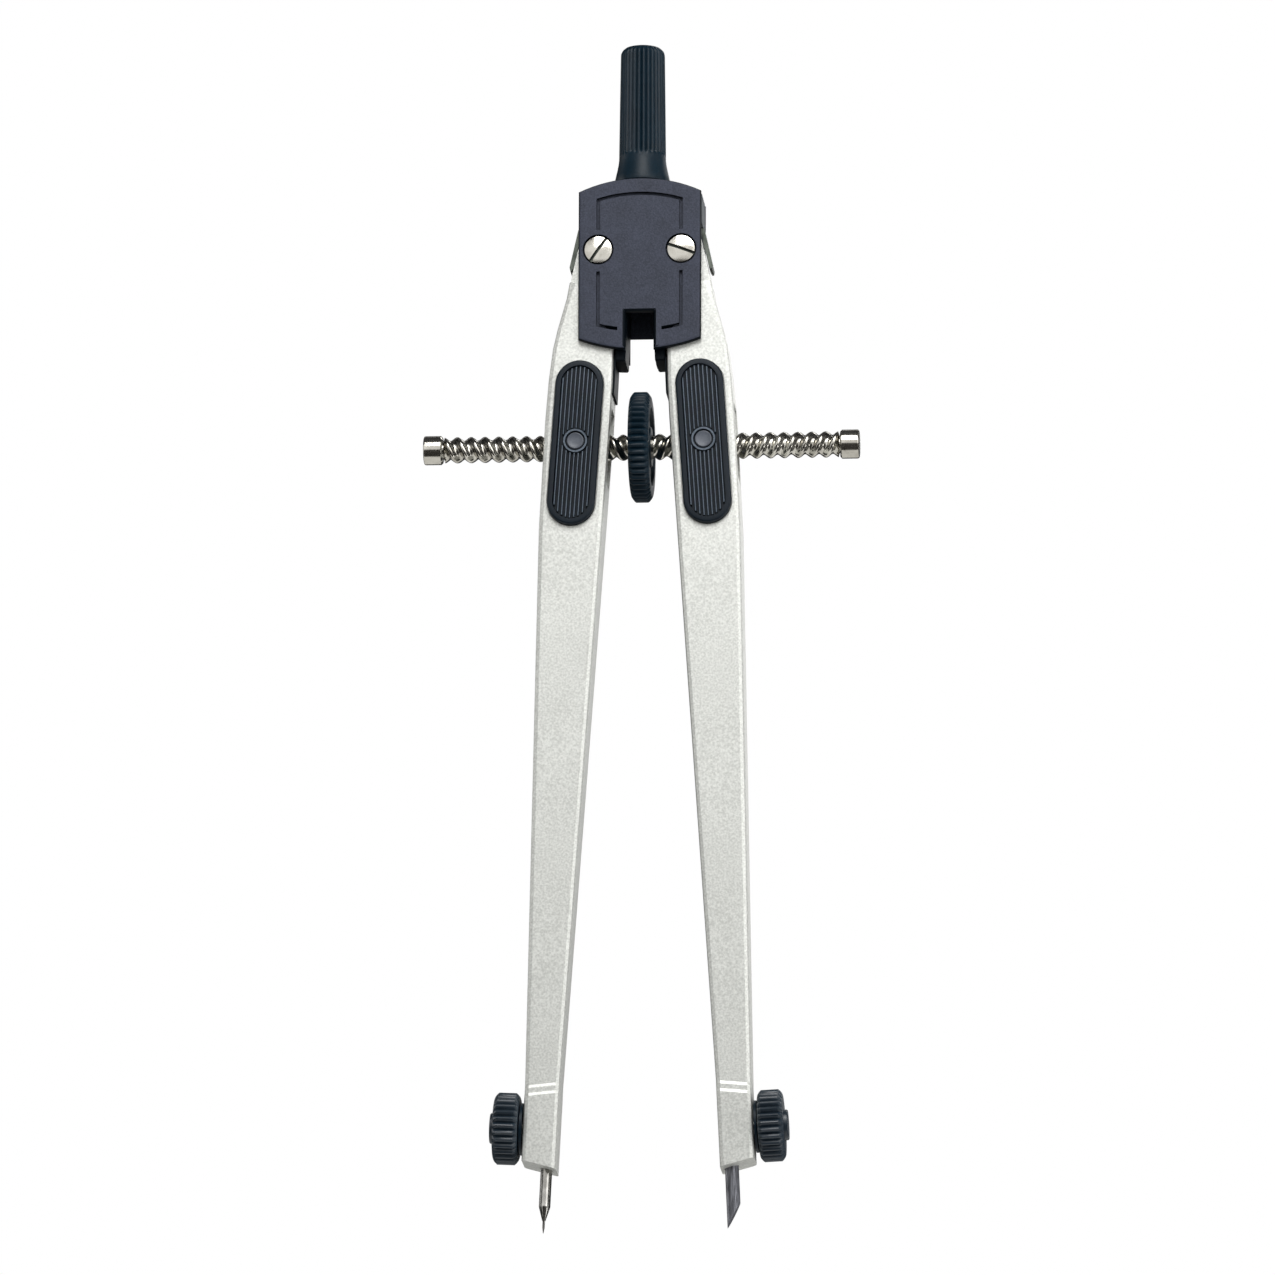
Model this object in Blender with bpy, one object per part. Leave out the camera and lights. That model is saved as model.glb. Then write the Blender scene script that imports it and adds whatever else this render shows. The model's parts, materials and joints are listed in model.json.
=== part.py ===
"""Quick-set drawing compass. Two cast legs turn on a head with geared inserts, and a spindle
with a left-hand and a right-hand thread sets them apart. +Z runs up the handle, X across the
legs, and the front faces -Y. The needle's point stands on Z = 0. Lengths are in metres."""

import math

import bmesh
import bpy
from mathutils import Matrix, Vector

# Gaps
seat_gap = 0.0003
running_gap = 0.0001
cut_overrun = 0.002
flat_tolerance = 0.0000001

# Legs: where they turn and how they stand at rest
pivot_spacing = 0.012
rest_tilt = math.radians(2.67)
tip_below_foot = 0.0089
socket_offset = 0.00098

# Leg casting, measured down the leg from its pivot
leg_length = 0.1349
leg_width = 0.0089
leg_depth = 0.0076
leg_corner = 0.0006
foot_height = 0.0129
foot_rise = 0.0004
foot_slant = 0.0011
ridge_height = 0.0009
ridge_rise = 0.0002
ridge_slant = 0.0007

# Top of the leg, a fork between the covers
cheek_depth = 0.0058
cheek_top_radius = 0.0036
cheek_foot_half_width = 0.0036
cheek_shoulder_angle = math.radians(39.5)
cheek_shoulder_share = 0.52
cheek_lean_share = 0.78
cheek_overlap = 0.0024
fork_slot = 0.0034
fork_slot_bottom = 0.0052
arm_slot_bottom = 0.0168

# Hinge insert: hub, gear sector and the block beside the leg
hub_radius = 0.0028
insert_depth = 0.0028
gear_full_teeth = 20
gear_sector_teeth = 5
left_first_tooth = 3.0
right_first_tooth = 2.5
addendum = 0.0005
dedendum = 0.00075
pressure_angle = math.radians(20.0)
tooth_thickness_share = 0.42
arm_outer = 0.0013
block_bottom = 0.0161
block_top = 0.008
block_width = 0.0015
block_depth = 0.0070

# Side plate on the fork
plate_thickness = 0.0006
plate_gap = 0.00015
plate_round_share = 0.3
plate_depth = 0.0042
plate_top_reach = 0.0012
plate_length = 0.0057

# Head covers and the block between them
head_half_width = 0.00887
head_depth = 0.0102
cover_thickness = 0.0019
cover_skirt_thickness = 0.0010
cover_step_drop = 0.0032
cover_edge = 0.0004
shoulder_height = 0.0087
top_crown = 0.0020
side_drop = 0.0133
bottom_crown = 0.00165
notch_width = 0.00406
notch_top_drop = 0.0093
rear_notch_top_drop = 0.0110
groove_width = 0.0005
groove_depth = 0.0006
groove_top_inset = 0.0024
groove_bottom_inset = 0.0029
groove_stroke = 0.0028
groove_gap_above = 0.0029
groove_gap_below = 0.0033
neck_half_width = 0.0038
neck_height = 0.0107
block_side_radius = 0.0051
block_gear_gap = 0.00045
block_step_teeth = 3.7

# Pivot screws and nuts
screw_head_diameter = 0.0040
screw_head_height = 0.0010
screw_proud = 0.0001
screw_dome = 0.00015
screw_dome_shares = ((0.0, 0.55), (0.4, 0.88), (1.0, 1.0))
counterbore_diameter = 0.0045
shank_diameter = 0.0026
thread_diameter = 0.0020
slot_width = 0.00045
slot_depth = 0.00045
slot_angles = (math.radians(55.0), math.radians(-20.0))
nut_across_flats = 0.0040
nut_height = 0.0010
nut_recess = 0.0001
nut_pocket_depth = 0.00125

# Handle and its stem
handle_length = 0.0205
handle_top_diameter = 0.0064
handle_bottom_diameter = 0.0068
handle_edge = 0.0008
handle_chamfer = 0.0003
handle_seat = 0.0002
flare_diameter = 0.0080
flare_height = 0.0043
flare_foot = 0.0005
flute_count = 28
flute_depth = 0.00028
flute_end = 0.0005
stem_diameter = 0.0025
stem_length = 0.0200
stem_depth_in_block = 0.0045

# Finger pads
pad_width = 0.00695
pad_length = 0.0244
pad_thickness = 0.00105
pad_recess = 0.0001
pad_tilt = math.radians(1.2)
pad_rim = 0.0009
pad_edge = 0.00025
pad_side_gap = 0.00015
rib_grooves = 8
rib_groove_width = 0.00034
rib_groove_depth = 0.00035
pad_ring_diameter = 0.0037
pad_drop = 0.0002

# Trunnion nuts and the window through the leg
trunnion_drop = 0.02842
trunnion_offset = 0.00193
trunnion_body_diameter = 0.0064
trunnion_body_depth = 0.0048
trunnion_pin_diameter = 0.0025
trunnion_pin_dome = 0.0003
pin_dome_shares = ((0.0, 1.0), (0.7, 0.72), (1.0, 0.3))
trunnion_pin_recess = 0.0001
window_depth = 0.0052
window_length = 0.0112

# Spindle
spindle_length = 0.0630
thread_outer_diameter = 0.0038
thread_cut = 0.0005
thread_flank_share = 0.75
thread_starts = 2
thread_lead = 0.004
thread_points_per_start = 6
thread_steps_per_lead = 10
spindle_middle_diameter = 0.0033
spindle_middle_length = 0.0034
spindle_end_diameter = 0.0024
cap_diameter = 0.0042
cap_length = 0.00275
cap_edge = 0.0003
cap_floor = 0.0005

# Adjusting wheel
wheel_diameter = 0.0160
wheel_width = 0.0030
wheel_teeth = 48
wheel_tooth_depth = 0.00045
wheel_edge = 0.0008
wheel_shoulder = 0.0005
wheel_dish_diameter = 0.0112
wheel_dish_depth = 0.0005
wheel_hub_diameter = 0.0058

# Clamps at the feet
clamp_height_above_foot = 0.0061
washer_diameter = 0.0075
washer_thickness = 0.00035
washer_gap = 0.00015
knob_diameter = 0.0103
knob_width = 0.0036
knob_teeth = 30
knob_tooth_depth = 0.0005
knob_edge = 0.0006
knob_shoulder = 0.0004
knob_hub_diameter = 0.0044
knob_hub_height = 0.0006
clamp_screw_diameter = 0.0024
clamp_screw_depth_in_knob = 0.0026

# Needle and lead
needle_diameter = 0.00165
needle_cone_top = 0.0038
needle_cone_bottom = 0.00175
needle_point_diameter = 0.00035
needle_tip_diameter = 0.00006
needle_point_taper = 0.0008
lead_diameter = 0.0020
lead_reach_short = 0.0005
lead_bevel_height = 0.0036
socket_gap = 0.0001
socket_depth = 0.0137

# Fineness of round shapes
round_sides = 24
small_sides = 16
sharp_angle = math.radians(32.0)

# Worked out from the sizes above
pivot_x = pivot_spacing / 2
needle_reach = leg_length + tip_below_foot
needle_length = tip_below_foot + socket_depth - seat_gap
lead_length = needle_length - lead_reach_short
pivot_height = needle_reach * math.cos(rest_tilt) - socket_offset * math.sin(rest_tilt)
trunnion_x = (
    pivot_x
    + trunnion_offset * math.cos(rest_tilt)
    + trunnion_drop * math.sin(rest_tilt)
)
spindle_height = (
    pivot_height
    + trunnion_offset * math.sin(rest_tilt)
    - trunnion_drop * math.cos(rest_tilt)
)
head_half_depth = head_depth / 2
cover_inner = head_half_depth - cover_thickness
skirt_inner = head_half_depth - cover_skirt_thickness
pitch_radius = pivot_x
tip_radius = pitch_radius + addendum
root_radius = pitch_radius - dedendum
tooth_pitch = 2 * math.pi / gear_full_teeth
clamp_drop = leg_length - clamp_height_above_foot
leg_half_depth = leg_depth / 2

# Leg outline: share of leg_length below the pivot, outer and inner edge as shares of
# leg_width, depth as a share of leg_depth. The foot below the steps is added by leg_rings.
leg_station_shares = (
    (0.0345, 0.410, 0.315, 1.0),
    (0.0517, 0.489, 0.315, 1.0),
    (0.0870, 0.612, 0.315, 1.0),
    (0.1080, 0.669, 0.316, 1.0),
    (0.1423, 0.711, 0.330, 1.0),
    (0.1861, 0.734, 0.326, 1.0),
    (0.3054, 0.745, 0.281, 1.0),
    (0.3373, 0.733, 0.272, 0.995),
    (0.6000, 0.622, 0.178, 0.895),
    (0.9044, 0.500, 0.065, 0.780),
    (1.0, 0.494, 0.062, 0.745),
)

# Colour as sRGB hex, roughness, metallic
finishes = {
    "black_plastic": ("#23282E", 0.50, 0.0),
    "cover_plastic": ("#3A3C46", 0.60, 0.0),
    "silver_paint": ("#CFCFC9", 0.40, 0.55),
    "bare_metal": ("#7D807B", 0.35, 1.0),
    "nickel": ("#C9C7C0", 0.18, 1.0),
    "steel": ("#B4B2AC", 0.25, 1.0),
    "graphite": ("#3E3F43", 0.45, 0.3),
}


def linear_colour(text):
    """Linear RGBA of an sRGB hex colour."""
    channels = [int(text[i : i + 2], 16) / 255 for i in (1, 3, 5)]
    return [c / 12.92 if c < 0.04045 else ((c + 0.055) / 1.055) ** 2.4 for c in channels] + [1.0]


def material_for(name, finish):
    """A material of the part's own, in one of the finishes."""
    colour, roughness, metallic = finishes[finish]
    material = bpy.data.materials.new(name + "_" + finish)
    material.use_nodes = True
    shader = material.node_tree.nodes["Principled BSDF"]
    shader.inputs["Base Color"].default_value = linear_colour(colour)
    shader.inputs["Roughness"].default_value = roughness
    shader.inputs["Metallic"].default_value = metallic
    return material


def clear_scene():
    for item in list(bpy.data.objects):
        bpy.data.objects.remove(item, do_unlink=True)


def arc(centre, radius, start, end, steps):
    """Points on an arc in the XZ plane, both ends included."""
    angles = [start + (end - start) * i / steps for i in range(steps + 1)]
    return [(centre[0] + radius * math.cos(a), centre[1] + radius * math.sin(a)) for a in angles]


def bow(x, half_width, crown):
    """Height at x of an arc that rises by crown from its ends at +-half_width."""
    radius = (half_width**2 + crown**2) / (2 * crown)
    return math.sqrt(radius**2 - x**2) - (radius - crown)


def spread(start, end, steps):
    """Evenly spaced values, both ends included."""
    return [start + (end - start) * i / steps for i in range(steps + 1)]


def skin(rings):
    """A closed body through rings of points, with flat ends."""
    bm = bmesh.new()
    loops = [[bm.verts.new(point) for point in ring] for ring in rings]
    count = len(loops[0])
    for lower, upper in zip(loops, loops[1:]):
        for i in range(count):
            j = (i + 1) % count
            bm.faces.new((lower[i], lower[j], upper[j], upper[i]))
    bm.faces.new(loops[0][::-1])
    bm.faces.new(loops[-1])
    bmesh.ops.recalc_face_normals(bm, faces=bm.faces)
    return bm


def prism(outline, y_from, y_to):
    """An XZ outline carried along Y."""
    return skin([[(x, y, z) for x, z in outline] for y in (y_from, y_to)])


def turned(profile, sides, direction="Z", turn=0.0):
    """A round body about X, Y or Z from (place along the axis, radius) pairs."""
    rings = []
    for place, radius in profile:
        circle = arc((0.0, 0.0), radius, turn, turn + 2 * math.pi, sides)[:-1]
        rings.append([along(direction, place, a, b) for a, b in circle])
    return skin(rings)


def along(direction, place, a, b):
    """The point at place along an axis, and a and b across it."""
    return {"X": (place, a, b), "Y": (a, place, b), "Z": (a, b, place)}[direction]


def toothed(stations, teeth, direction="X"):
    """A toothed wheel from (place, tip radius, root radius) stations, two points a tooth."""
    rings = []
    for place, tip, root in stations:
        ring = []
        for i in range(teeth):
            middle = 2 * math.pi * i / teeth
            flank = math.pi / teeth
            for offset, radius in ((0.0, tip), (flank, root)):
                angle = middle + offset
                ring.append(
                    along(direction, place, radius * math.cos(angle), radius * math.sin(angle))
                )
        rings.append(ring)
    return skin(rings)


def add(bm, other):
    """Puts the mesh of other beside that of bm."""
    scratch = bpy.data.meshes.new("scratch")
    other.to_mesh(scratch)
    other.free()
    bm.from_mesh(scratch)
    bpy.data.meshes.remove(scratch)
    return bm


def place(name, bm, parent=None, location=(0.0, 0.0, 0.0), tilt=0.0):
    """A mesh object from a bmesh, turned about Y by tilt."""
    bmesh.ops.recalc_face_normals(bm, faces=bm.faces)
    mesh = bpy.data.meshes.new(name)
    bm.to_mesh(mesh)
    bm.free()
    item = bpy.data.objects.new(name, mesh)
    bpy.context.scene.collection.objects.link(item)
    item.parent = parent
    item.location = location
    item.rotation_euler = (0.0, tilt, 0.0)
    return item


def part(name, finish, bm, parent=None, location=(0.0, 0.0, 0.0), tilt=0.0):
    """A visible piece with its own material, smooth but for its edges."""
    item = place(name, bm, parent, location, tilt)
    item.data.shade_smooth()
    item.data.set_sharp_from_angle(angle=sharp_angle)
    item.data.materials.append(material_for(name, finish))
    return item


def boolean(target, bm, label, operation, tilt=0.0, location=None):
    """Joins a hidden helper body to target, or cuts it out."""
    where = target.location if location is None else location
    helper = place(target.name + "_" + label, bm, target.parent, where, tilt)
    helper.hide_render = True
    helper.display_type = "WIRE"
    modifier = target.modifiers.new(label, "BOOLEAN")
    modifier.operation = operation
    modifier.solver = "EXACT"
    modifier.object = helper
    return helper


def cut(target, bm, label, tilt=0.0, location=None):
    return boolean(target, bm, label, "DIFFERENCE", tilt, location)


def join(target, bm, label, tilt=0.0, location=None):
    return boolean(target, bm, label, "UNION", tilt, location)


def rod(radius, start, end, direction, sides=round_sides, centre=(0.0, 0.0, 0.0)):
    """A plain round rod, for bores and bosses."""
    bm = turned([(start, radius), (end, radius)], sides, direction)
    bmesh.ops.translate(bm, verts=bm.verts, vec=Vector(centre))
    return bm


def box(x_from, x_to, y_from, y_to, z_from, z_to):
    outline = [(x_from, z_from), (x_to, z_from), (x_to, z_to), (x_from, z_to)]
    return prism(outline, y_from, y_to)


def stadium(half_width, half_length, steps):
    """Outline of a pad: straight sides and round ends."""
    straight = half_length - half_width
    upper = arc((0.0, straight), half_width, 0.0, math.pi, steps)
    lower = arc((0.0, -straight), half_width, math.pi, 2 * math.pi, steps)
    return upper + lower


def bevel_edges(bm, edges, width, segments=2):
    bmesh.ops.bevel(
        bm, geom=edges, offset=width, segments=segments, profile=0.5, affect="EDGES", material=-1
    )
    return bm


def face_rim(bm, y):
    """Edges round the flat faces that lie at this Y."""
    return [e for e in bm.edges if all(abs(v.co.y - y) < flat_tolerance for v in e.verts)]


def leg_axis(name, side):
    """Empty on a leg's pivot. Its X, Y and Z are the leg's own, tilted as the leg stands."""
    axis = bpy.data.objects.new(name, None)
    bpy.context.scene.collection.objects.link(axis)
    axis.empty_display_size = pivot_x
    axis.location = (side * pivot_x, 0.0, pivot_height)
    axis.rotation_euler = (0.0, -side * rest_tilt, 0.0)
    return axis


def leg_ring(side, drop, outer, inner, half_depth, slant=0.0):
    """One level section of the leg, with round corners."""
    corner_at = (
        (outer - leg_corner, half_depth - leg_corner, 0.0),
        (-inner + leg_corner, half_depth - leg_corner, 0.5),
        (-inner + leg_corner, -half_depth + leg_corner, 1.0),
        (outer - leg_corner, -half_depth + leg_corner, 1.5),
    )
    ring = []
    for u, y, start in corner_at:
        for x, across in arc((u, y), leg_corner, start * math.pi, (start + 0.5) * math.pi, 2):
            share = (outer - x) / (outer + inner)
            ring.append((side * x, across, -drop - slant * share))
    return ring


def leg_rings(side):
    """Sections from under the head to the foot, with two small steps out above the foot."""
    *upper, knee, sole = [
        (down * leg_length, outer * leg_width, inner * leg_width, depth * leg_half_depth)
        for down, outer, inner, depth in leg_station_shares
    ]
    rings = [leg_ring(side, *station) for station in upper]
    drop = leg_length - foot_height
    outer, inner, half_depth = knee[1:]
    for down, rise in (
        (-ridge_rise, 0.0),
        (0.0, ridge_rise),
        (ridge_height, ridge_rise),
        (ridge_height + foot_rise - ridge_rise, foot_rise),
    ):
        rings.append(
            leg_ring(side, drop + down, outer, inner, half_depth + rise, -ridge_slant)
        )
    outer, inner, half_depth = sole[1:]
    end = leg_length - foot_slant
    rings.append(leg_ring(side, end, outer, inner, half_depth + foot_rise, foot_slant))
    return rings


def cheek_outline(side):
    """Top of the leg: straight outer edge, round top about the pivot, straight inner edge."""
    top = leg_station_shares[0]
    knee_drop = top[0] * leg_length
    lean = math.atan2(cheek_foot_half_width - cheek_top_radius * cheek_lean_share, knee_drop)
    round_top = arc((0.0, 0.0), cheek_top_radius, cheek_shoulder_angle, math.pi + lean, 12)
    inner = top[2] * leg_width - running_gap
    below = knee_drop + cheek_overlap
    outline = [
        (cheek_foot_half_width, -below),
        (cheek_foot_half_width, -knee_drop * cheek_shoulder_share),
        *round_top,
        (-inner, -knee_drop),
        (-inner, -below),
    ]
    return [(side * u, z) for u, z in outline]


def make_leg(name, side, axis):
    leg = part(name, "silver_paint", skin(leg_rings(side)), axis)
    half_cheek = cheek_depth / 2
    join(leg, prism(cheek_outline(side), -half_cheek, half_cheek), "cheeks")
    half_slot = fork_slot / 2
    reach = leg_width
    fork = box(-reach, reach, -half_slot, half_slot, -fork_slot_bottom, reach)
    cut(leg, fork, "fork_slot")
    slot_sides = sorted((-side * reach, side * (arm_outer + seat_gap)))
    arm = box(*slot_sides, -half_slot, half_slot, -arm_slot_bottom, -fork_slot_bottom + seat_gap)
    cut(leg, arm, "arm_slot")
    bore = shank_diameter / 2 + running_gap
    cut(leg, rod(bore, -leg_depth, leg_depth, "Y"), "pivot_bore")
    cut_window(leg, side)
    cut_pad_seats(leg, side)
    cut_socket(leg, side)
    return leg


def cut_window(leg, side):
    """Window for the spindle, and the holes that the trunnion nut's pins turn in."""
    centre = Vector((side * trunnion_offset, 0.0, -trunnion_drop))
    half = window_length / 2
    half_depth = window_depth / 2
    window = box(-leg_width, leg_width, -half_depth, half_depth, -half, half)
    bmesh.ops.translate(window, verts=window.verts, vec=centre)
    cut(leg, window, "window")
    pin = trunnion_pin_diameter / 2 + running_gap
    cut(leg, rod(pin, -leg_depth, leg_depth, "Y", small_sides, centre), "pin_holes")


def pad_place(side):
    """Middle of a pad on the leg: on the trunnion, a little lower."""
    return Vector((side * trunnion_offset, 0.0, -trunnion_drop - pad_drop))


def cut_pad_seats(leg, side):
    """Shallow seats that the pads lie in, front and back."""
    half_width = pad_width / 2 + pad_side_gap
    half_length = pad_length / 2 + pad_side_gap
    outline = stadium(half_width, half_length, 10)
    floor = leg_half_depth - pad_recess - seat_gap
    for label, way in (("front_seat", -1), ("rear_seat", 1)):
        y_from, y_to = sorted((way * floor, way * (leg_half_depth + cut_overrun)))
        seat = prism(outline, y_from, y_to)
        cut(leg, seat, label, -side * pad_tilt, pad_place(side))


def socket_radius(diameter):
    return diameter / 2 + socket_gap


def cut_socket(leg, side):
    """Bore up the foot for the needle or the lead, and the clamp screw's hole into it."""
    diameter = needle_diameter if side < 0 else lead_diameter
    centre = (side * socket_offset, 0.0, 0.0)
    top = socket_depth - leg_length
    radius = socket_radius(diameter)
    cut(leg, rod(radius, -leg_length - cut_overrun, top, "Z", small_sides, centre), "socket")
    across = sorted((side * socket_offset, side * leg_width))
    screw = clamp_screw_diameter / 2 + running_gap
    hole = rod(screw, *across, "X", small_sides, (0.0, 0.0, -clamp_drop))
    cut(leg, hole, "clamp_hole")


def involute(angle):
    return math.tan(angle) - angle


def tooth_half_angle(radius):
    """Half of a tooth's angle at a radius, thinned at the pitch circle for backlash."""
    base = pitch_radius * math.cos(pressure_angle)
    here = math.acos(min(1.0, base / radius))
    at_pitch = tooth_thickness_share * tooth_pitch / 2
    return at_pitch + involute(pressure_angle) - involute(here)


def sector_outline(first_tooth):
    """Teeth from the top one down. first_tooth is its angle above the line of the pivots."""
    base = pitch_radius * math.cos(pressure_angle)
    radii = [root_radius, max(base, root_radius), pitch_radius, tip_radius]
    points = []
    for i in range(gear_sector_teeth):
        middle = math.pi - first_tooth + i * tooth_pitch
        flank = [(r, tooth_half_angle(r)) for r in radii]
        polar = [(r, middle - half) for r, half in flank]
        polar += [(r, middle + half) for r, half in reversed(flank)]
        points += [(r * math.cos(a), r * math.sin(a)) for r, a in polar]
    return points


def insert_outline(first_tooth):
    """Hub, gear sector and the arm that runs down inside the leg."""
    last_tooth = first_tooth - (gear_sector_teeth - 1) * tooth_pitch
    inner = leg_station_shares[0][2] * leg_width + seat_gap + block_width
    sector_start = math.pi - first_tooth - tooth_pitch / 2
    sector_end = math.pi - last_tooth + tooth_pitch / 2
    hub = arc((0.0, 0.0), hub_radius, -math.acos(arm_outer / hub_radius), sector_start, 14)
    corner = [
        (root_radius * math.cos(a), root_radius * math.sin(a)) for a in (sector_start, sector_end)
    ]
    heel = (-inner, corner[1][1] - (inner + corner[1][0]) - block_width)
    return [
        (arm_outer, -block_bottom),
        *hub,
        corner[0],
        *sector_outline(first_tooth),
        corner[1],
        heel,
        (-inner, -block_bottom),
    ]


def make_insert(name, side, axis):
    """Insert with the gear sector. The two sectors differ by half a tooth, so that they mesh."""
    first_tooth = (left_first_tooth if side < 0 else right_first_tooth) * tooth_pitch
    half = insert_depth / 2
    outline = [(side * u, z) for u, z in insert_outline(first_tooth)]
    insert = part(name, "black_plastic", prism(outline, -half, half), axis)
    leg_inner = leg_station_shares[0][2] * leg_width + seat_gap
    sides = sorted((-side * leg_inner, -side * (leg_inner + block_width)))
    half_block = block_depth / 2
    beside = box(*sides, -half_block, half_block, -block_bottom, -block_top)
    bevel_edges(beside, list(beside.edges), running_gap * 2, 1)
    join(insert, beside, "block")
    bore = shank_diameter / 2 + running_gap
    cut(insert, rod(bore, -leg_depth, leg_depth, "Y"), "bore")
    return insert


def make_side_plate(name, side, axis):
    """Bare strip along the fork's outer edge, with a round lower end."""
    angle = cheek_shoulder_angle
    knee_drop = leg_station_shares[0][0] * leg_length
    top = Vector((cheek_top_radius * math.cos(angle), cheek_top_radius * math.sin(angle)))
    foot = Vector((cheek_foot_half_width, -knee_drop * cheek_shoulder_share))
    run = (foot - top).normalized()
    out = Vector((-run.y, run.x))
    start = top - run * plate_top_reach + out * plate_gap
    end = start + run * plate_length
    low, high = plate_round_share, 1 - plate_round_share
    corners = [
        start,
        end,
        end + run * plate_thickness * high + out * plate_thickness * low,
        end + run * plate_thickness * high + out * plate_thickness * high,
        end + out * plate_thickness,
        start + out * plate_thickness,
    ]
    half = plate_depth / 2
    bm = prism([(side * p.x, p.y) for p in corners], -half, half)
    return part(name, "bare_metal", bm, axis)


def cover_outline(notch_top):
    """Outline of a cover about the middle of the pivots, with a notch below."""
    half_notch = notch_width / 2
    top = [
        (x, shoulder_height + bow(x, head_half_width, top_crown))
        for x in spread(head_half_width, -head_half_width, 18)
    ]
    left = [
        (x, -side_drop - bow(x, head_half_width, bottom_crown))
        for x in spread(-head_half_width, -half_notch, 7)
    ]
    right = [(-x, z) for x, z in reversed(left)]
    return top + left + [(-half_notch, -notch_top), (half_notch, -notch_top)] + right


def upper_outline():
    """The part of a cover above the step, which is thicker."""
    edge = head_half_width - running_gap
    outline = [
        (max(-edge, min(edge, x)), z - running_gap)
        for x, z in cover_outline(notch_top_drop)
        if z > 0.0
    ]
    return outline + [(-edge, -cover_step_drop), (edge, -cover_step_drop)]


def make_cover(name, way, notch_top):
    """Cover plate at the front (way -1) or the back (way 1)."""
    face = way * head_half_depth
    location = (0.0, 0.0, pivot_height)
    bm = prism(cover_outline(notch_top), *sorted((way * skirt_inner, face)))
    bevel_edges(bm, face_rim(bm, face), cover_edge)
    cover = part(name, "cover_plastic", bm, None, location)
    middle = way * (skirt_inner + cover_skirt_thickness / 2)
    thick = prism(upper_outline(), *sorted((way * cover_inner, middle)))
    join(cover, thick, "upper_half")
    return cover


def cut_grooves(cover):
    """Broken frame line on the front: an arch above, two hooks below."""
    half = groove_width / 2
    edge = -head_half_depth
    depth = (edge - cut_overrun, edge + groove_depth)
    outer, inner = pivot_x + half, pivot_x - half

    def upper(x):
        return shoulder_height + bow(x, head_half_width, top_crown) - groove_top_inset

    def lower(x):
        return -side_drop - bow(x, head_half_width, bottom_crown) + groove_bottom_inset

    low = groove_gap_above
    arch = [(x, upper(x) + half) for x in spread(outer, -outer, 12)]
    arch_inside = [(x, upper(x) - half) for x in spread(-inner, inner, 12)]
    outline = [(outer, low), *arch, (-outer, low), (-inner, low), *arch_inside, (inner, low)]
    cut(cover, prism(outline, *depth), "arch_groove")
    stroke_end = pivot_x - groove_stroke
    for label, side in (("left_groove", -1), ("right_groove", 1)):
        under = [(x, lower(x) - half) for x in spread(outer, stroke_end, 4)]
        over = [(x, lower(x) + half) for x in spread(stroke_end, inner, 4)]
        hook = [(outer, -groove_gap_below), *under, *over, (inner, -groove_gap_below)]
        cut(cover, prism([(side * x, z) for x, z in hook], *depth), label)


def make_front_cover():
    cover = make_cover("front_cover", -1, notch_top_drop)
    cut_grooves(cover)
    seat = head_half_depth + screw_proud - screw_head_height - running_gap
    for label, side in (("left", -1), ("right", 1)):
        centre = (side * pivot_x, 0.0, 0.0)
        bore = shank_diameter / 2 + running_gap
        hole = rod(bore, -head_depth, 0.0, "Y", small_sides, centre)
        cut(cover, hole, label + "_bore")
        radius = counterbore_diameter / 2
        pocket = rod(radius, -head_depth, -seat, "Y", round_sides, centre)
        cut(cover, pocket, label + "_counterbore")
    return cover


def hexagon(across_flats):
    return arc((0.0, 0.0), across_flats / math.sqrt(3.0), 0.0, 2 * math.pi, 6)[:-1]


def make_rear_cover():
    cover = make_cover("rear_cover", 1, rear_notch_top_drop)
    floor = head_half_depth - nut_pocket_depth
    for label, side in (("left", -1), ("right", 1)):
        centre = (side * pivot_x, 0.0, 0.0)
        bore = thread_diameter / 2 + running_gap
        hole = rod(bore, 0.0, head_depth, "Y", small_sides, centre)
        cut(cover, hole, label + "_bore")
        pocket = prism(hexagon(nut_across_flats + seat_gap), floor, head_depth)
        bmesh.ops.translate(pocket, verts=pocket.verts, vec=Vector(centre))
        cut(cover, pocket, label + "_pocket")
    return cover


def head_block_outline():
    """Block between the covers: arched above with a neck, clear of legs and gears below."""
    reach = min(1.0, (head_half_width - pivot_x) / block_side_radius)
    side_angle = math.acos(reach)
    step_angle = math.pi - block_step_teeth * tooth_pitch
    clear = tip_radius + block_gear_gap
    middle_angle = math.pi - math.acos(min(1.0, pivot_x / clear))
    centre = (pivot_x, 0.0)
    right = [(head_half_width, block_side_radius * math.sin(side_angle))]
    right += arc(centre, block_side_radius, side_angle, step_angle, 6)
    right += arc(centre, clear, step_angle, middle_angle, 8)
    top = [
        (x, shoulder_height + bow(x, head_half_width, top_crown))
        for x in spread(neck_half_width, head_half_width, 6)
    ]
    half = [(neck_half_width, neck_height), *top, *right]
    left = [(-x, z) for x, z in reversed(half)]
    return half + left[1:]


def make_head_block():
    half = cover_inner - seat_gap
    bm = prism(head_block_outline(), -half, half)
    block = part("head_block", "black_plastic", bm, None, (0.0, 0.0, pivot_height))
    bottom = neck_height - stem_depth_in_block - seat_gap
    radius = stem_diameter / 2 + running_gap
    hole = rod(radius, bottom, neck_height + cut_overrun, "Z", small_sides)
    cut(block, hole, "stem_bore")
    return block


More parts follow.
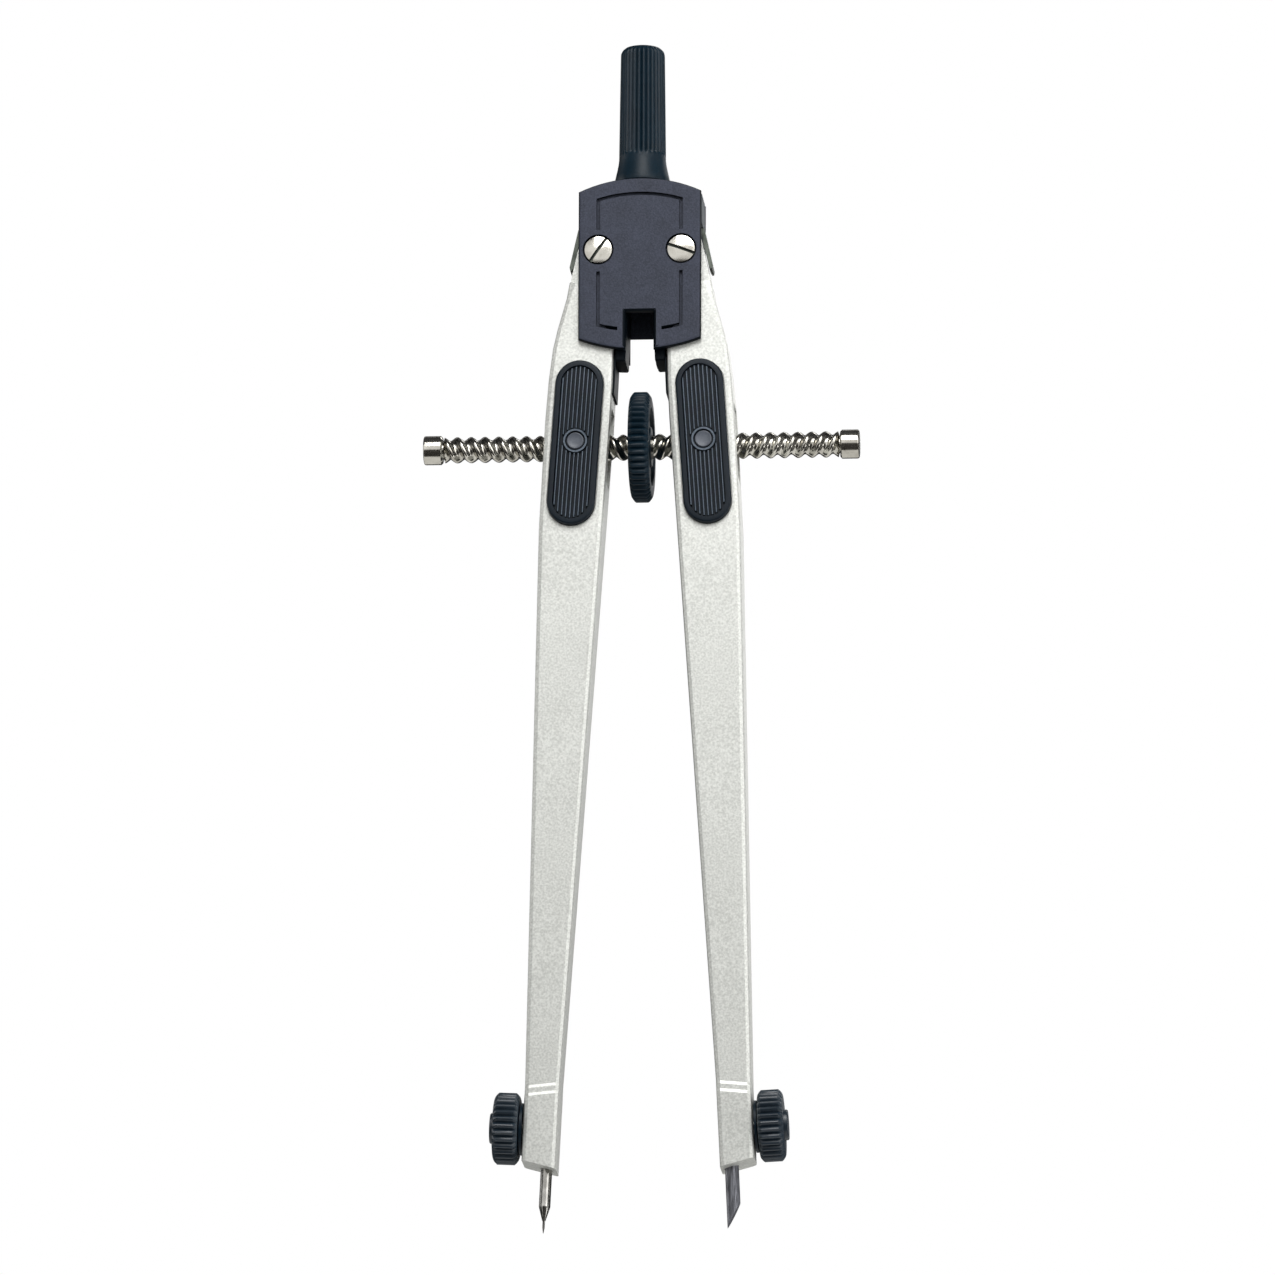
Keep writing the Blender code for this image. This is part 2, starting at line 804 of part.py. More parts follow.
def make_handle():
    """Fluted handle on a smooth flare, with a rounded top."""
    base = pivot_height + neck_height + handle_seat
    low = handle_bottom_diameter / 2
    high = handle_top_diameter / 2
    flare = flare_diameter / 2
    end = handle_length
    stations = [
        (0.0, flare - handle_chamfer, 0.0),
        (flare_foot, flare, 0.0),
        (flare_height - flute_end, low, 0.0),
        (flare_height, low, 0.0),
        (flare_height + flute_end, low, flute_depth),
        (end - handle_edge - flute_end, high, flute_depth),
        (end - handle_edge, high, flute_depth),
        (end - handle_chamfer, high - handle_chamfer, flute_depth / 2),
        (end, high - handle_edge, 0.0),
    ]
    bm = toothed([(at, r, r - d) for at, r, d in stations], flute_count, "Z")
    handle = part("handle_grip", "black_plastic", bm, None, (0.0, 0.0, base))
    inside = stem_length - stem_depth_in_block + seat_gap
    bore = rod(stem_diameter / 2 + running_gap, -cut_overrun, inside, "Z", small_sides)
    cut(handle, bore, "stem_bore")
    low_end = pivot_height + neck_height - stem_depth_in_block
    radius = stem_diameter / 2
    profile = [(0.0, radius), (stem_length, radius)]
    part("handle_stem", "steel", turned(profile, small_sides), None, (0.0, 0.0, low_end))


def make_pivot_screw(name, side, slot_angle):
    """Slotted head at the front, a plain shank in the leg, a thinner threaded end behind."""
    face = -head_half_depth - screw_proud
    head = screw_head_diameter / 2
    shank = shank_diameter / 2
    thread = thread_diameter / 2
    shoulder = cheek_depth / 2 + running_gap
    profile = [(face + screw_dome * up, head * wide) for up, wide in screw_dome_shares]
    profile += [
        (face + screw_head_height, head),
        (face + screw_head_height, shank),
        (shoulder, shank),
        (shoulder, thread),
        (head_half_depth - nut_recess, thread),
    ]
    location = (side * pivot_x, 0.0, pivot_height)
    screw = part(name, "nickel", turned(profile, round_sides, "Y"), None, location)
    half = slot_width / 2
    slot = box(-head * 2, head * 2, face - cut_overrun, face + slot_depth, -half, half)
    turn = Matrix.Rotation(-slot_angle, 3, "Y")
    bmesh.ops.rotate(slot, verts=slot.verts, cent=(0.0, 0.0, 0.0), matrix=turn)
    cut(screw, slot, "slot")
    return screw


def make_pivot_nut(name, side):
    top = head_half_depth - nut_recess
    bm = prism(hexagon(nut_across_flats), top - nut_height, top)
    nut = part(name, "nickel", bm, None, (side * pivot_x, 0.0, pivot_height))
    bore = rod(thread_diameter / 2 + running_gap, 0.0, head_depth, "Y", small_sides)
    cut(nut, bore, "bore")
    return nut


def rib_groove_boxes(way, face):
    """Grooves between the ribs of a pad. Those that cross the middle stop at its ring."""
    inner_half = pad_width / 2 - pad_rim
    straight = (pad_length - pad_width) / 2
    ring = pad_ring_diameter / 2
    half = rib_groove_width / 2
    spacing = 2 * inner_half / (rib_grooves + 1)
    y_from, y_to = sorted((way * (face + cut_overrun), way * (face - rib_groove_depth)))
    bm = bmesh.new()
    for i in range(rib_grooves):
        x = (i - (rib_grooves - 1) / 2) * spacing
        end = straight + math.sqrt(max(0.0, inner_half**2 - (abs(x) + half) ** 2))
        stop = math.sqrt(max(0.0, ring**2 - max(0.0, abs(x) - half) ** 2))
        runs = [(-end, end)] if stop == 0.0 else [(-end, -stop), (stop, end)]
        for low, high in runs:
            add(bm, box(x - half, x + half, y_from, y_to, low, high))
    return bm


def make_pad(name, side, way, axis):
    """Ribbed finger pad at the front (way -1) or the back (way 1) of a leg."""
    back = leg_half_depth - pad_recess
    face = back + pad_thickness
    outline = stadium(pad_width / 2, pad_length / 2, 10)
    bm = prism(outline, *sorted((way * back, way * face)))
    bevel_edges(bm, face_rim(bm, way * face), pad_edge)
    pad = part(name, "black_plastic", bm, axis, pad_place(side), -side * pad_tilt)
    cut(pad, rib_groove_boxes(way, face), "rib_grooves", -side * pad_tilt)
    pin = trunnion_pin_diameter / 2 + running_gap
    hole = rod(pin, -leg_depth, leg_depth, "Y", small_sides, (0.0, 0.0, pad_drop))
    cut(pad, hole, "pin_hole", -side * pad_tilt)
    return pad


def make_trunnion_nut(name, side):
    """Round nut across the leg, with a pin at each end that shows in the pads."""
    body = trunnion_body_diameter / 2
    half = trunnion_body_depth / 2
    pin = trunnion_pin_diameter / 2
    end = leg_half_depth - pad_recess + pad_thickness - trunnion_pin_recess
    start = end - trunnion_pin_dome
    half_profile = [(half, body), (half, pin)]
    half_profile += [(start + trunnion_pin_dome * up, pin * wide) for up, wide in pin_dome_shares]
    profile = [(-y, r) for y, r in reversed(half_profile)] + half_profile
    location = (side * trunnion_x, 0.0, spindle_height)
    nut = part(name, "black_plastic", turned(profile, round_sides, "Y"), None, location)
    bore = thread_outer_diameter / 2 + running_gap
    cut(nut, rod(bore, -body * 2, body * 2, "X", small_sides), "bore")
    return nut


def thread_rings(start, end, side):
    """Sections of a steep thread with several starts, turned a little from one to the next."""
    outer = thread_outer_diameter / 2
    count = thread_starts * thread_points_per_start
    steps = round((end - start) / thread_lead * thread_steps_per_lead)
    rings = []
    for at in spread(start, end, steps):
        twist = -2 * math.pi * at / thread_lead
        ring = []
        for i in range(count):
            angle = 2 * math.pi * i / count
            low = (1 - math.cos(angle * thread_starts)) / 2
            radius = outer - thread_cut * min(1.0, low / thread_flank_share)
            across = (radius * math.cos(angle + twist), radius * math.sin(angle + twist))
            ring.append(along("X", side * at, *across))
        rings.append(ring)
    return rings


def plain_ring(at, radius):
    count = thread_starts * thread_points_per_start
    circle = arc((0.0, 0.0), radius, 0.0, 2 * math.pi, count)[:-1]
    return [along("X", at, a, b) for a, b in circle]


def make_spindle():
    """One rod: a plain middle, a left-hand and a right-hand thread, and two plain ends."""
    half = spindle_length / 2
    middle = spindle_middle_length / 2
    shoulder = half - cap_length - seat_gap
    end = half - cap_floor - seat_gap
    right = thread_rings(middle + seat_gap, shoulder, 1)
    left = thread_rings(middle + seat_gap, shoulder, -1)
    thin = spindle_end_diameter / 2
    thick = spindle_middle_diameter / 2
    rings = [plain_ring(-end, thin), plain_ring(-shoulder - running_gap, thin), *reversed(left)]
    rings += [plain_ring(-middle, thick), plain_ring(middle, thick)]
    rings += [*right, plain_ring(shoulder + running_gap, thin), plain_ring(end, thin)]
    return part("spindle", "nickel", skin(rings), None, (0.0, 0.0, spindle_height))


def make_wheel():
    half = wheel_width / 2
    tip = wheel_diameter / 2
    root = tip - wheel_tooth_depth
    low = tip - wheel_edge
    stations = [
        (-half, low, low),
        (-half + wheel_shoulder, tip, root),
        (half - wheel_shoulder, tip, root),
        (half, low, low),
    ]
    location = (0.0, 0.0, spindle_height)
    wheel = part("adjusting_wheel", "black_plastic", toothed(stations, wheel_teeth), None, location)
    dish = wheel_dish_diameter / 2
    hub = wheel_hub_diameter / 2
    for label, way in (("left_dish", -1), ("right_dish", 1)):
        outside = way * (half + cut_overrun)
        floor = way * (half - wheel_dish_depth)
        ends = sorted((outside, floor))
        ring = ring_body(hub, dish, *ends, round_sides)
        cut(wheel, ring, label)
    radius = spindle_middle_diameter / 2 + running_gap
    cut(wheel, rod(radius, -wheel_width, wheel_width, "X", small_sides), "bore")
    return wheel


def ring_body(inner, outer, start, end, sides):
    """A closed ring about X."""
    rings = []
    for at, radius in ((start, inner), (start, outer), (end, outer), (end, inner)):
        circle = arc((0.0, 0.0), radius, 0.0, 2 * math.pi, sides)[:-1]
        rings.append([along("X", at, a, b) for a, b in circle])
    bm = bmesh.new()
    loops = [[bm.verts.new(point) for point in ring] for ring in rings]
    for k in range(4):
        here, there = loops[k], loops[(k + 1) % 4]
        for i in range(sides):
            j = (i + 1) % sides
            bm.faces.new((here[i], here[j], there[j], there[i]))
    bmesh.ops.recalc_face_normals(bm, faces=bm.faces)
    return bm


def make_end_cap(name, side):
    radius = cap_diameter / 2
    half = spindle_length / 2
    inner = half - cap_length
    profile = [
        (inner, radius - cap_edge),
        (inner + cap_edge, radius),
        (half - cap_edge, radius),
        (half, radius - cap_edge),
    ]
    bm = turned(profile, round_sides, "X")
    if side < 0:
        bmesh.ops.scale(bm, verts=bm.verts, vec=(-1.0, 1.0, 1.0))
    cap = part(name, "nickel", bm, None, (0.0, 0.0, spindle_height))
    bore = spindle_end_diameter / 2 + running_gap
    ends = sorted((side * (inner - cut_overrun), side * (half - cap_floor)))
    cut(cap, rod(bore, *ends, "X", small_sides), "bore")
    return cap


def clamp_seat():
    """Outer side of the foot at the clamp, measured out from the leg's axis."""
    return leg_station_shares[-2][1] * leg_width + washer_gap


def make_clamp(side_name, side, axis):
    """Knob with its screw, and the washer between the knob and the leg."""
    seat = clamp_seat()
    location = (0.0, 0.0, -clamp_drop)
    screw_radius = clamp_screw_diameter / 2
    washer_end = seat + washer_thickness
    profile = [(side * seat, washer_diameter / 2), (side * washer_end, washer_diameter / 2)]
    washer = part(
        side_name + "_clamp_washer",
        "black_plastic",
        turned(profile, round_sides, "X"),
        axis,
        location,
    )
    ends = sorted((side * (seat - cut_overrun), side * (washer_end + cut_overrun)))
    cut(washer, rod(screw_radius + running_gap, *ends, "X", small_sides), "bore")

    inner = washer_end + washer_gap
    outer = inner + knob_width
    tip = knob_diameter / 2
    root = tip - knob_tooth_depth
    low = tip - knob_edge
    stations = [
        (side * inner, low, low),
        (side * (inner + knob_shoulder), tip, root),
        (side * (outer - knob_shoulder), tip, root),
        (side * outer, low, low),
    ]
    knob = part(
        side_name + "_clamp_knob", "black_plastic", toothed(stations, knob_teeth), axis, location
    )
    hub_ends = sorted((side * (outer - knob_edge), side * (outer + knob_hub_height)))
    join(knob, rod(knob_hub_diameter / 2, *hub_ends, "X", small_sides), "hub")
    screw_top = inner + clamp_screw_depth_in_knob
    ends = sorted((side * (inner - cut_overrun), side * (screw_top + seat_gap)))
    cut(knob, rod(screw_radius + running_gap, *ends, "X", small_sides), "bore")

    diameter = needle_diameter if side < 0 else lead_diameter
    screw_tip = socket_offset + diameter / 2 + seat_gap
    profile = [(side * screw_tip, screw_radius), (side * screw_top, screw_radius)]
    part(side_name + "_clamp_screw", "steel", turned(profile, small_sides, "X"), axis, location)


def make_needle(axis):
    """Needle with a shouldered shaft, standing on its fine point."""
    radius = needle_diameter / 2
    fine = needle_point_diameter / 2
    profile = [
        (0.0, needle_tip_diameter / 2),
        (needle_point_taper, fine),
        (needle_cone_bottom, fine),
        (needle_cone_top, radius),
        (needle_length, radius),
    ]
    location = (-socket_offset, 0.0, -needle_reach)
    return part("needle", "steel", turned(profile, small_sides), axis, location)


def make_lead(axis):
    """Round lead, ground to a slope that leaves its edge on the inner side."""
    radius = lead_diameter / 2
    tip = lead_reach_short
    location = (socket_offset, 0.0, -needle_reach)
    bm = turned([(tip, radius), (lead_length, radius)], round_sides)
    for vert in bm.verts:
        if vert.co.z < lead_length / 2:
            vert.co.z += lead_bevel_height * (vert.co.x + radius) / lead_diameter
    return part("lead", "graphite", bm, axis, location)


def build():
    clear_scene()
    make_front_cover()
    make_rear_cover()
    make_head_block()
    make_handle()
    for side_name, side, slot_angle in (
        ("left", -1, slot_angles[0]),
        ("right", 1, slot_angles[1]),
    ):
        axis = leg_axis(side_name + "_leg_axis", side)
        make_leg(side_name + "_leg", side, axis)
        make_insert(side_name + "_hinge_insert", side, axis)
        make_side_plate(side_name + "_side_plate", side, axis)
        make_pad(side_name + "_front_pad", side, -1, axis)
        make_pad(side_name + "_rear_pad", side, 1, axis)
        make_clamp(side_name, side, axis)
        make_pivot_screw(side_name + "_pivot_screw", side, slot_angle)
        make_pivot_nut(side_name + "_pivot_nut", side)
        make_trunnion_nut(side_name + "_trunnion_nut", side)
        make_end_cap(side_name + "_end_cap", side)
        if side < 0:
            make_needle(axis)
        else:
            make_lead(axis)
    make_spindle()
    make_wheel()


build()
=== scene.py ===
"""Looks of the drawing compass: lacquered castings, moulded nylon, nickel plate and graphite."""

import json
import math

import bmesh
import bpy
from mathutils import Matrix, Vector


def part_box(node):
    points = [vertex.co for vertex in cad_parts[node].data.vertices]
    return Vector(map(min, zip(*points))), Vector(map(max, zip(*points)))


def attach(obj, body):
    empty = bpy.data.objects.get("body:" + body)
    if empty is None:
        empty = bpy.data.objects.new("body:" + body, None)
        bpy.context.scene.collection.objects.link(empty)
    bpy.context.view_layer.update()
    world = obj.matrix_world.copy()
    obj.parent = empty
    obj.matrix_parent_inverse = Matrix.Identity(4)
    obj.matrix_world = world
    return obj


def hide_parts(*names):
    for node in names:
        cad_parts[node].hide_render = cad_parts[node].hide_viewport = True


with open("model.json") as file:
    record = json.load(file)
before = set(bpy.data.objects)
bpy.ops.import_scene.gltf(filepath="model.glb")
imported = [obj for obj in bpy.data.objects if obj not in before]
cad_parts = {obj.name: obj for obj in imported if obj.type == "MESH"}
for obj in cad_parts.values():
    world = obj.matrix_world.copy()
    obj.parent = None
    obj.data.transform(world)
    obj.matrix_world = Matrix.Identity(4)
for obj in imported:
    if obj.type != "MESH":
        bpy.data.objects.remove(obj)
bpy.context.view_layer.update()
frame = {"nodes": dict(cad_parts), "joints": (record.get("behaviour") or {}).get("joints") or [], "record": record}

record = frame["record"]
joints = {joint["name"]: joint for joint in frame["joints"]}
body_of = {node: body for body, nodes in record["behaviour"]["bodies"].items() for node in nodes}
slot_of = {row["node"]: row["material_slot"] for row in record["subparts"]}

# Places that come with the model
left_pivot = Vector(joints["left_leg_open"]["pos_m"])
right_pivot = Vector(joints["right_leg_open"]["pos_m"])
leg_tilt = math.asin(abs(joints["needle_slide"]["axis"][0]))
spindle_centre = Vector(joints["wheel_spin"]["pos_m"])
head_centre = (left_pivot + right_pivot) / 2
sides = {"left": -1, "right": 1}

# How meshes are made
sharp_angle = math.radians(32.0)
crisp_angle = math.radians(9.0)
flat_angle = math.radians(0.5)
fine_steps = 48
same_place = 1e-7
same_place_in_model = 1e-6
flat_within = 0.00001

# Sizes are in metres. A turned outline lists the place along the axis, the radius and, on a
# toothed piece, the share of the teeth's depth that is cut there.
handle_flutes = 28
handle_flute_depth = 0.00026
handle_profile = (
    (0.0, 0.00385, 0.0),
    (0.00012, 0.00398, 0.0),
    (0.0005, 0.0040, 0.0),
    (0.0012, 0.00385, 0.0),
    (0.0022, 0.00362, 0.0),
    (0.0031, 0.00346, 0.0),
    (0.0037, 0.00340, 0.0),
    (0.0041, 0.00339, 0.0),
    (0.0043, 0.00339, 0.6),
    (0.0046, 0.00339, 1.0),
    (0.0120, 0.00330, 1.0),
    (0.0193, 0.00320, 1.0),
    (0.01965, 0.00317, 0.9),
    (0.0199, 0.00307, 0.7),
    (0.02015, 0.00288, 0.4),
    (0.0204, 0.00258, 0.0),
    (0.0205, 0.00225, 0.0),
)
handle_bore = 0.00135
handle_bore_top = 0.0158

teeth_points = 8
wheel_teeth = 48
wheel_tooth_depth = 0.0005
wheel_profile = (
    (0.0015, 0.0019, 0.0),
    (0.0015, 0.0028, 0.0),
    (0.00142, 0.0029, 0.0),
    (0.00105, 0.00295, 0.0),
    (0.0010, 0.0031, 0.0),
    (0.0010, 0.0054, 0.0),
    (0.00105, 0.0056, 0.0),
    (0.00142, 0.0057, 0.0),
    (0.0015, 0.0058, 0.0),
    (0.0015, 0.00705, 0.0),
    (0.00145, 0.0073, 0.1),
    (0.00125, 0.0076, 0.5),
    (0.00105, 0.00785, 0.85),
    (0.00085, 0.0080, 1.0),
)
wheel_bore = 0.00175
wheel_bore_reach = 0.0014

knob_teeth = 30
knob_tooth_depth = 0.0005
knob_inner = 0.00513
knob_bore = 0.0013
knob_profile = (
    (0.0, knob_bore, 0.0),
    (0.0, 0.0044, 0.0),
    (0.00008, 0.00462, 0.3),
    (0.00028, 0.0049, 0.7),
    (0.00055, 0.00515, 1.0),
    (0.0018, 0.00515, 1.0),
    (0.00305, 0.00515, 1.0),
    (0.00332, 0.0049, 0.7),
    (0.00352, 0.00462, 0.3),
    (0.0036, 0.0044, 0.0),
    (0.0036, 0.00235, 0.0),
    (0.00363, 0.00222, 0.0),
    (0.0041, 0.00218, 0.0),
    (0.0042, 0.0021, 0.0),
    (0.0042, 0.0, 0.0),
)
knob_bore_end = 0.0029
clamp_drop = 0.1288

thread_radius = 0.0019
thread_depth = 0.00052
thread_sharpness = 2.2
thread_starts = 2
thread_lead = 0.004
thread_points = 48
thread_steps_per_lead = 56
thread_start = 0.0018
thread_end = 0.02845
spindle_end = 0.0307
spindle_thin = 0.0012
spindle_neck_reach = 0.0002
spindle_middle = 0.00165

cap_inner = 0.02875
cap_outer = 0.0315
cap_radius = 0.0021
cap_edge = 0.00025
cap_edge_share = 0.3
cap_wall = 0.0005
cap_clearance = 0.0001

screw_radius = 0.0020
screw_dome = 0.00022
screw_dome_shares = ((1.0, 0.0), (0.92, 0.3), (0.68, 0.6), (0.35, 0.82))
screw_edge = 0.00012
screw_edge_share = 0.3
screw_head_height = 0.0008
screw_neck_radius = 0.0013
screw_neck_end = 0.0022
screw_shank_radius = 0.0010
screw_length = 0.0100
screw_face = 0.0052
screw_slot_width = 0.00045
screw_slot_depth = 0.0008
screw_slot_turns = {"left": math.radians(55.0), "right": math.radians(-20.0)}

pad_half_width = 0.003475
pad_half_length = 0.0122
pad_thickness = 0.00105
pad_back = 0.0037
pad_rim = 0.0008
pad_round = 0.0003
pad_inner_slope = 0.00008
pad_floor = 0.0005
pad_tilt = math.radians(1.2)
pad_centre = Vector((0.00193, 0.0, -0.02862))
pad_pin_above = 0.0002
rib_count = 9
rib_width = 0.0003
rib_round_share = 0.45
rib_end_gap = 0.0001
rib_sink = 0.00002
rib_below_rim = 0.00004
crest_facing = 0.95
ring_outer = 0.0018
ring_inner = 0.00138
ring_edge = 0.00008

needle_profile = (
    (0.0, 0.0),
    (0.00004, 0.00004),
    (0.0008, 0.00017),
    (0.00175, 0.000175),
    (0.0019, 0.00026),
    (0.0037, 0.00078),
    (0.0039, 0.000825),
    (0.0223, 0.000825),
    (0.0223, 0.0),
)
needle_reach = 0.1438
socket_offset = 0.00098
lead_radius = 0.0010
lead_length = 0.0218
lead_short = 0.0005
lead_slope_height = 0.0036

foot_step_high = -0.1209
foot_step_top = -0.12118
foot_step_slant = 0.139
# For points this far below the upper step, from and to: how far they go down and inward
foot_step_moves = (
    (-0.0001, 0.0001, 0.0012, 0.0),
    (0.0001, 0.0003, 0.00145, 0.00007),
    (0.0010, 0.0012, 0.00125, 0.00007),
    (0.0012, 0.0014, 0.0015, 0.00014),
    (0.0014, 0.0200, 0.0, 0.00014),
)
socket_reach = 0.0011

leg_half_depth = 0.0038
leg_inner = 0.00293
knee_low = -0.0050
knee_high = -0.0043
knee_outer = 0.0031
knee_fill = 0.0004
seam_below_pivot = 0.00462
seam_width = 0.00018
seam_depth = 0.0003
seam_reach = 0.02

tongue_thickness = 0.0003
tongue_depth = 0.0066
tongue_top = -0.0155
tongue_end = -0.0210

pin_dish = 0.0002
pin_profile = (
    (-0.0006, 0.0),
    (-0.0006, 0.00122),
    (-0.00014, 0.00122),
    (-0.00004, 0.00118),
    (0.0, 0.00108),
    (-0.00004, 0.00098),
    (-0.0001, 0.0007),
    (-0.00013, 0.0004),
    (-0.00014, 0.0),
)

cover_edge = 0.00006
cover_foot_height = 0.0035
cover_foot_slope = 0.00045
cover_facing = 0.9
block_edge = 0.0001

# Camera, as the photograph was taken
photo_aim = Vector((-0.0005, 0.0, 0.0871))
photo_distance = 2.0
photo_azimuth = math.radians(4.5)
photo_elevation = math.radians(-13.5)
photo_roll = math.radians(0.2)
photo_lens = 392.7
photo_sensor = 36.0
clip_near = 0.01
clip_far = 20.0

# Studio, with lengths in metres
floor_height = -0.6
floor_half = 4.0
floor_colour = "#F2F2F0"
floor_roughness = 0.9
floor_shown_share = 0.85
soft_light_colour = "#F4F5F6"
soft_light_strength = 0.36
# Each lamp's name, side, power in watts and place
lamps = (
    ("key_light", 0.25, 1.6, (0.04, -0.36, 0.42)),
    ("fill_light", 0.5, 1.2, (0.5, -0.6, 0.3)),
    ("side_light", 0.3, 1.2, (0.55, -0.1, -0.1)),
    ("left_light", 0.3, 1.6, (-0.62, 0.12, 0.2)),
    ("right_light", 0.3, 1.3, (0.6, -0.05, 0.3)),
    ("back_light", 0.5, 5.5, (0.2, 0.7, 0.5)),
)
# Each card's name, colour, width, height and place
cards = (
    ("lower_dark_card", "#201C19", 0.9, 0.56, (0.0, -0.42, -0.17)),
    ("upper_dark_card", "#343436", 1.2, 1.0, (0.0, -0.05, 0.6)),
    ("back_dark_card", "#161617", 1.2, 0.9, (0.0, 0.6, 0.2)),
    ("left_dark_card", "#141414", 0.8, 1.2, (-0.48, 0.05, 0.1)),
    ("right_dark_card", "#141414", 0.8, 1.2, (0.48, 0.05, 0.1)),
)


def linear(text):
    """Linear RGBA of an sRGB hex colour."""
    channels = [int(text[i : i + 2], 16) / 255 for i in (1, 3, 5)]
    return [c / 12.92 if c < 0.04045 else ((c + 0.055) / 1.055) ** 2.4 for c in channels] + [1.0]


def per_size(millimetres):
    """Scale of a pattern on object coordinates whose feature has this size."""
    return 1000.0 / millimetres


def add(tree, kind, settings=None, **links):
    """Adds a node with its settings. A link goes to the socket of its name, or S0, S1 by place."""
    node = tree.nodes.new(kind)
    for name, value in (settings or {}).items():
        setattr(node, name, value)
    for name, value in links.items():
        key = int(name[1:]) if name[0] == "S" and name[1:].isdigit() else name.replace("_", " ")
        socket = node.inputs[key]
        if isinstance(value, bpy.types.NodeSocket):
            tree.links.new(value, socket)
        else:
            socket.default_value = value
    return node


def shader_of(name, metallic, roughness, ior=None, gloss=0.5):
    """A new material, its tree, its shader and the object coordinates."""
    material = bpy.data.materials.new(name)
    material.use_nodes = True
    tree = material.node_tree
    shader = tree.nodes["Principled BSDF"]
    shader.inputs["Metallic"].default_value = metallic
    shader.inputs["Roughness"].default_value = roughness
    shader.inputs["Specular IOR Level"].default_value = gloss
    if ior is not None:
        shader.inputs["IOR"].default_value = ior
    where = add(tree, "ShaderNodeTexCoord").outputs["Object"]
    return material, tree, shader, where


def shades(tree, pattern, low, high, dark, light):
    """Goes from the dark to the light colour as the pattern goes from low to high."""
    share = add(tree, "ShaderNodeMapRange", Value=pattern, S1=low, S2=high).outputs[0]
    return add(
        tree, "ShaderNodeMix", {"data_type": "RGBA"}, S0=share, S6=linear(dark), S7=linear(light)
    ).outputs[2]


def moulded_nylon(name, dark, light, roughness, relief, gloss, grain=0.14):
    """Moulded nylon: a matt skin from a spark-eroded mould, with faint paler clouds.

    The grain is drawn two to three times as coarse as the real one, so that it shows.
    """
    material, tree, shader, where = shader_of(name, 0.0, roughness, 1.53, gloss)
    clouds = add(
        tree, "ShaderNodeTexNoise", Vector=where, Scale=per_size(3.0), Detail=3.0
    ).outputs["Fac"]
    skin = add(
        tree, "ShaderNodeTexNoise", Vector=where, Scale=per_size(grain), Detail=2.0
    ).outputs["Fac"]
    both = add(
        tree, "ShaderNodeMix", {"data_type": "FLOAT"}, S0=0.65, S2=clouds, S3=skin
    ).outputs[0]
    tree.links.new(shades(tree, both, 0.3, 0.7, dark, light), shader.inputs["Base Color"])
    rough = add(
        tree, "ShaderNodeMapRange", Value=clouds, S3=roughness - 0.06, S4=roughness + 0.08
    ).outputs[0]
    tree.links.new(rough, shader.inputs["Roughness"])
    bump = add(tree, "ShaderNodeBump", Strength=relief, Distance=0.00005, Height=skin)
    tree.links.new(bump.outputs["Normal"], shader.inputs["Normal"])
    return material


def silver_lacquer():
    """Silver lacquer sprayed on a zinc casting: fine flakes in a pale coat, matt as cast.

    The flakes are drawn several times as coarse as real ones, so that they show.
    """
    material, tree, shader, where = shader_of("silver_lacquer_on_zinc", 0.45, 0.42, 1.5)
    flakes = add(
        tree, "ShaderNodeTexNoise", Vector=where, Scale=per_size(0.3), Detail=2.0
    ).outputs["Fac"]
    clouds = add(
        tree, "ShaderNodeTexNoise", Vector=where, Scale=per_size(6.0), Detail=2.0
    ).outputs["Fac"]
    both = add(
        tree, "ShaderNodeMix", {"data_type": "FLOAT"}, S0=0.86, S2=clouds, S3=flakes
    ).outputs[0]
    colour = shades(tree, both, 0.34, 0.66, "#BDBEB9", "#DCDDD8")
    tree.links.new(colour, shader.inputs["Base Color"])
    rough = add(tree, "ShaderNodeMapRange", Value=flakes, S3=0.36, S4=0.5).outputs[0]
    tree.links.new(rough, shader.inputs["Roughness"])
    bump = add(tree, "ShaderNodeBump", Strength=0.12, Distance=0.00004, Height=flakes)
    tree.links.new(bump.outputs["Normal"], shader.inputs["Normal"])
    return material


def bright_metal(name, dark, light, roughness, grain, stretch):
    """Metal with small stains, and with fine lines along the axis whose stretch is small."""
    material, tree, shader, where = shader_of(name, 1.0, roughness)
    lines_at = add(
        tree, "ShaderNodeMapping", {"vector_type": "POINT"}, Vector=where, Scale=stretch
    ).outputs["Vector"]
    lines = add(
        tree, "ShaderNodeTexNoise", Vector=lines_at, Scale=per_size(grain), Detail=3.0
    ).outputs["Fac"]
    stains = add(
        tree, "ShaderNodeTexNoise", Vector=where, Scale=per_size(2.2), Detail=4.0
    ).outputs["Fac"]
    tree.links.new(shades(tree, stains, 0.35, 0.6, dark, light), shader.inputs["Base Color"])
    rough = add(
        tree,
        "ShaderNodeMapRange",
        Value=lines,
        S3=max(0.04, roughness - 0.06),
        S4=roughness + 0.1,
    ).outputs[0]
    tree.links.new(rough, shader.inputs["Roughness"])
    bump = add(tree, "ShaderNodeBump", Strength=0.12, Distance=0.00002, Height=lines)
    tree.links.new(bump.outputs["Normal"], shader.inputs["Normal"])
    return material


def drawn_graphite():
    """Drawn graphite: dark grey with a soft sheen and fine lines along the lead."""
    material, tree, shader, where = shader_of("drawn_graphite", 0.4, 0.3)
    along = add(
        tree, "ShaderNodeMapping", {"vector_type": "POINT"}, Vector=where, Scale=(1.0, 1.0, 0.08)
    ).outputs["Vector"]
    lines = add(
        tree, "ShaderNodeTexNoise", Vector=along, Scale=per_size(0.2), Detail=3.0
    ).outputs["Fac"]
    colour = shades(tree, lines, 0.35, 0.65, "#3C3D42", "#84858C")
    tree.links.new(colour, shader.inputs["Base Color"])
    bump = add(tree, "ShaderNodeBump", Strength=0.2, Distance=0.00003, Height=lines)
    tree.links.new(bump.outputs["Normal"], shader.inputs["Normal"])
    return material


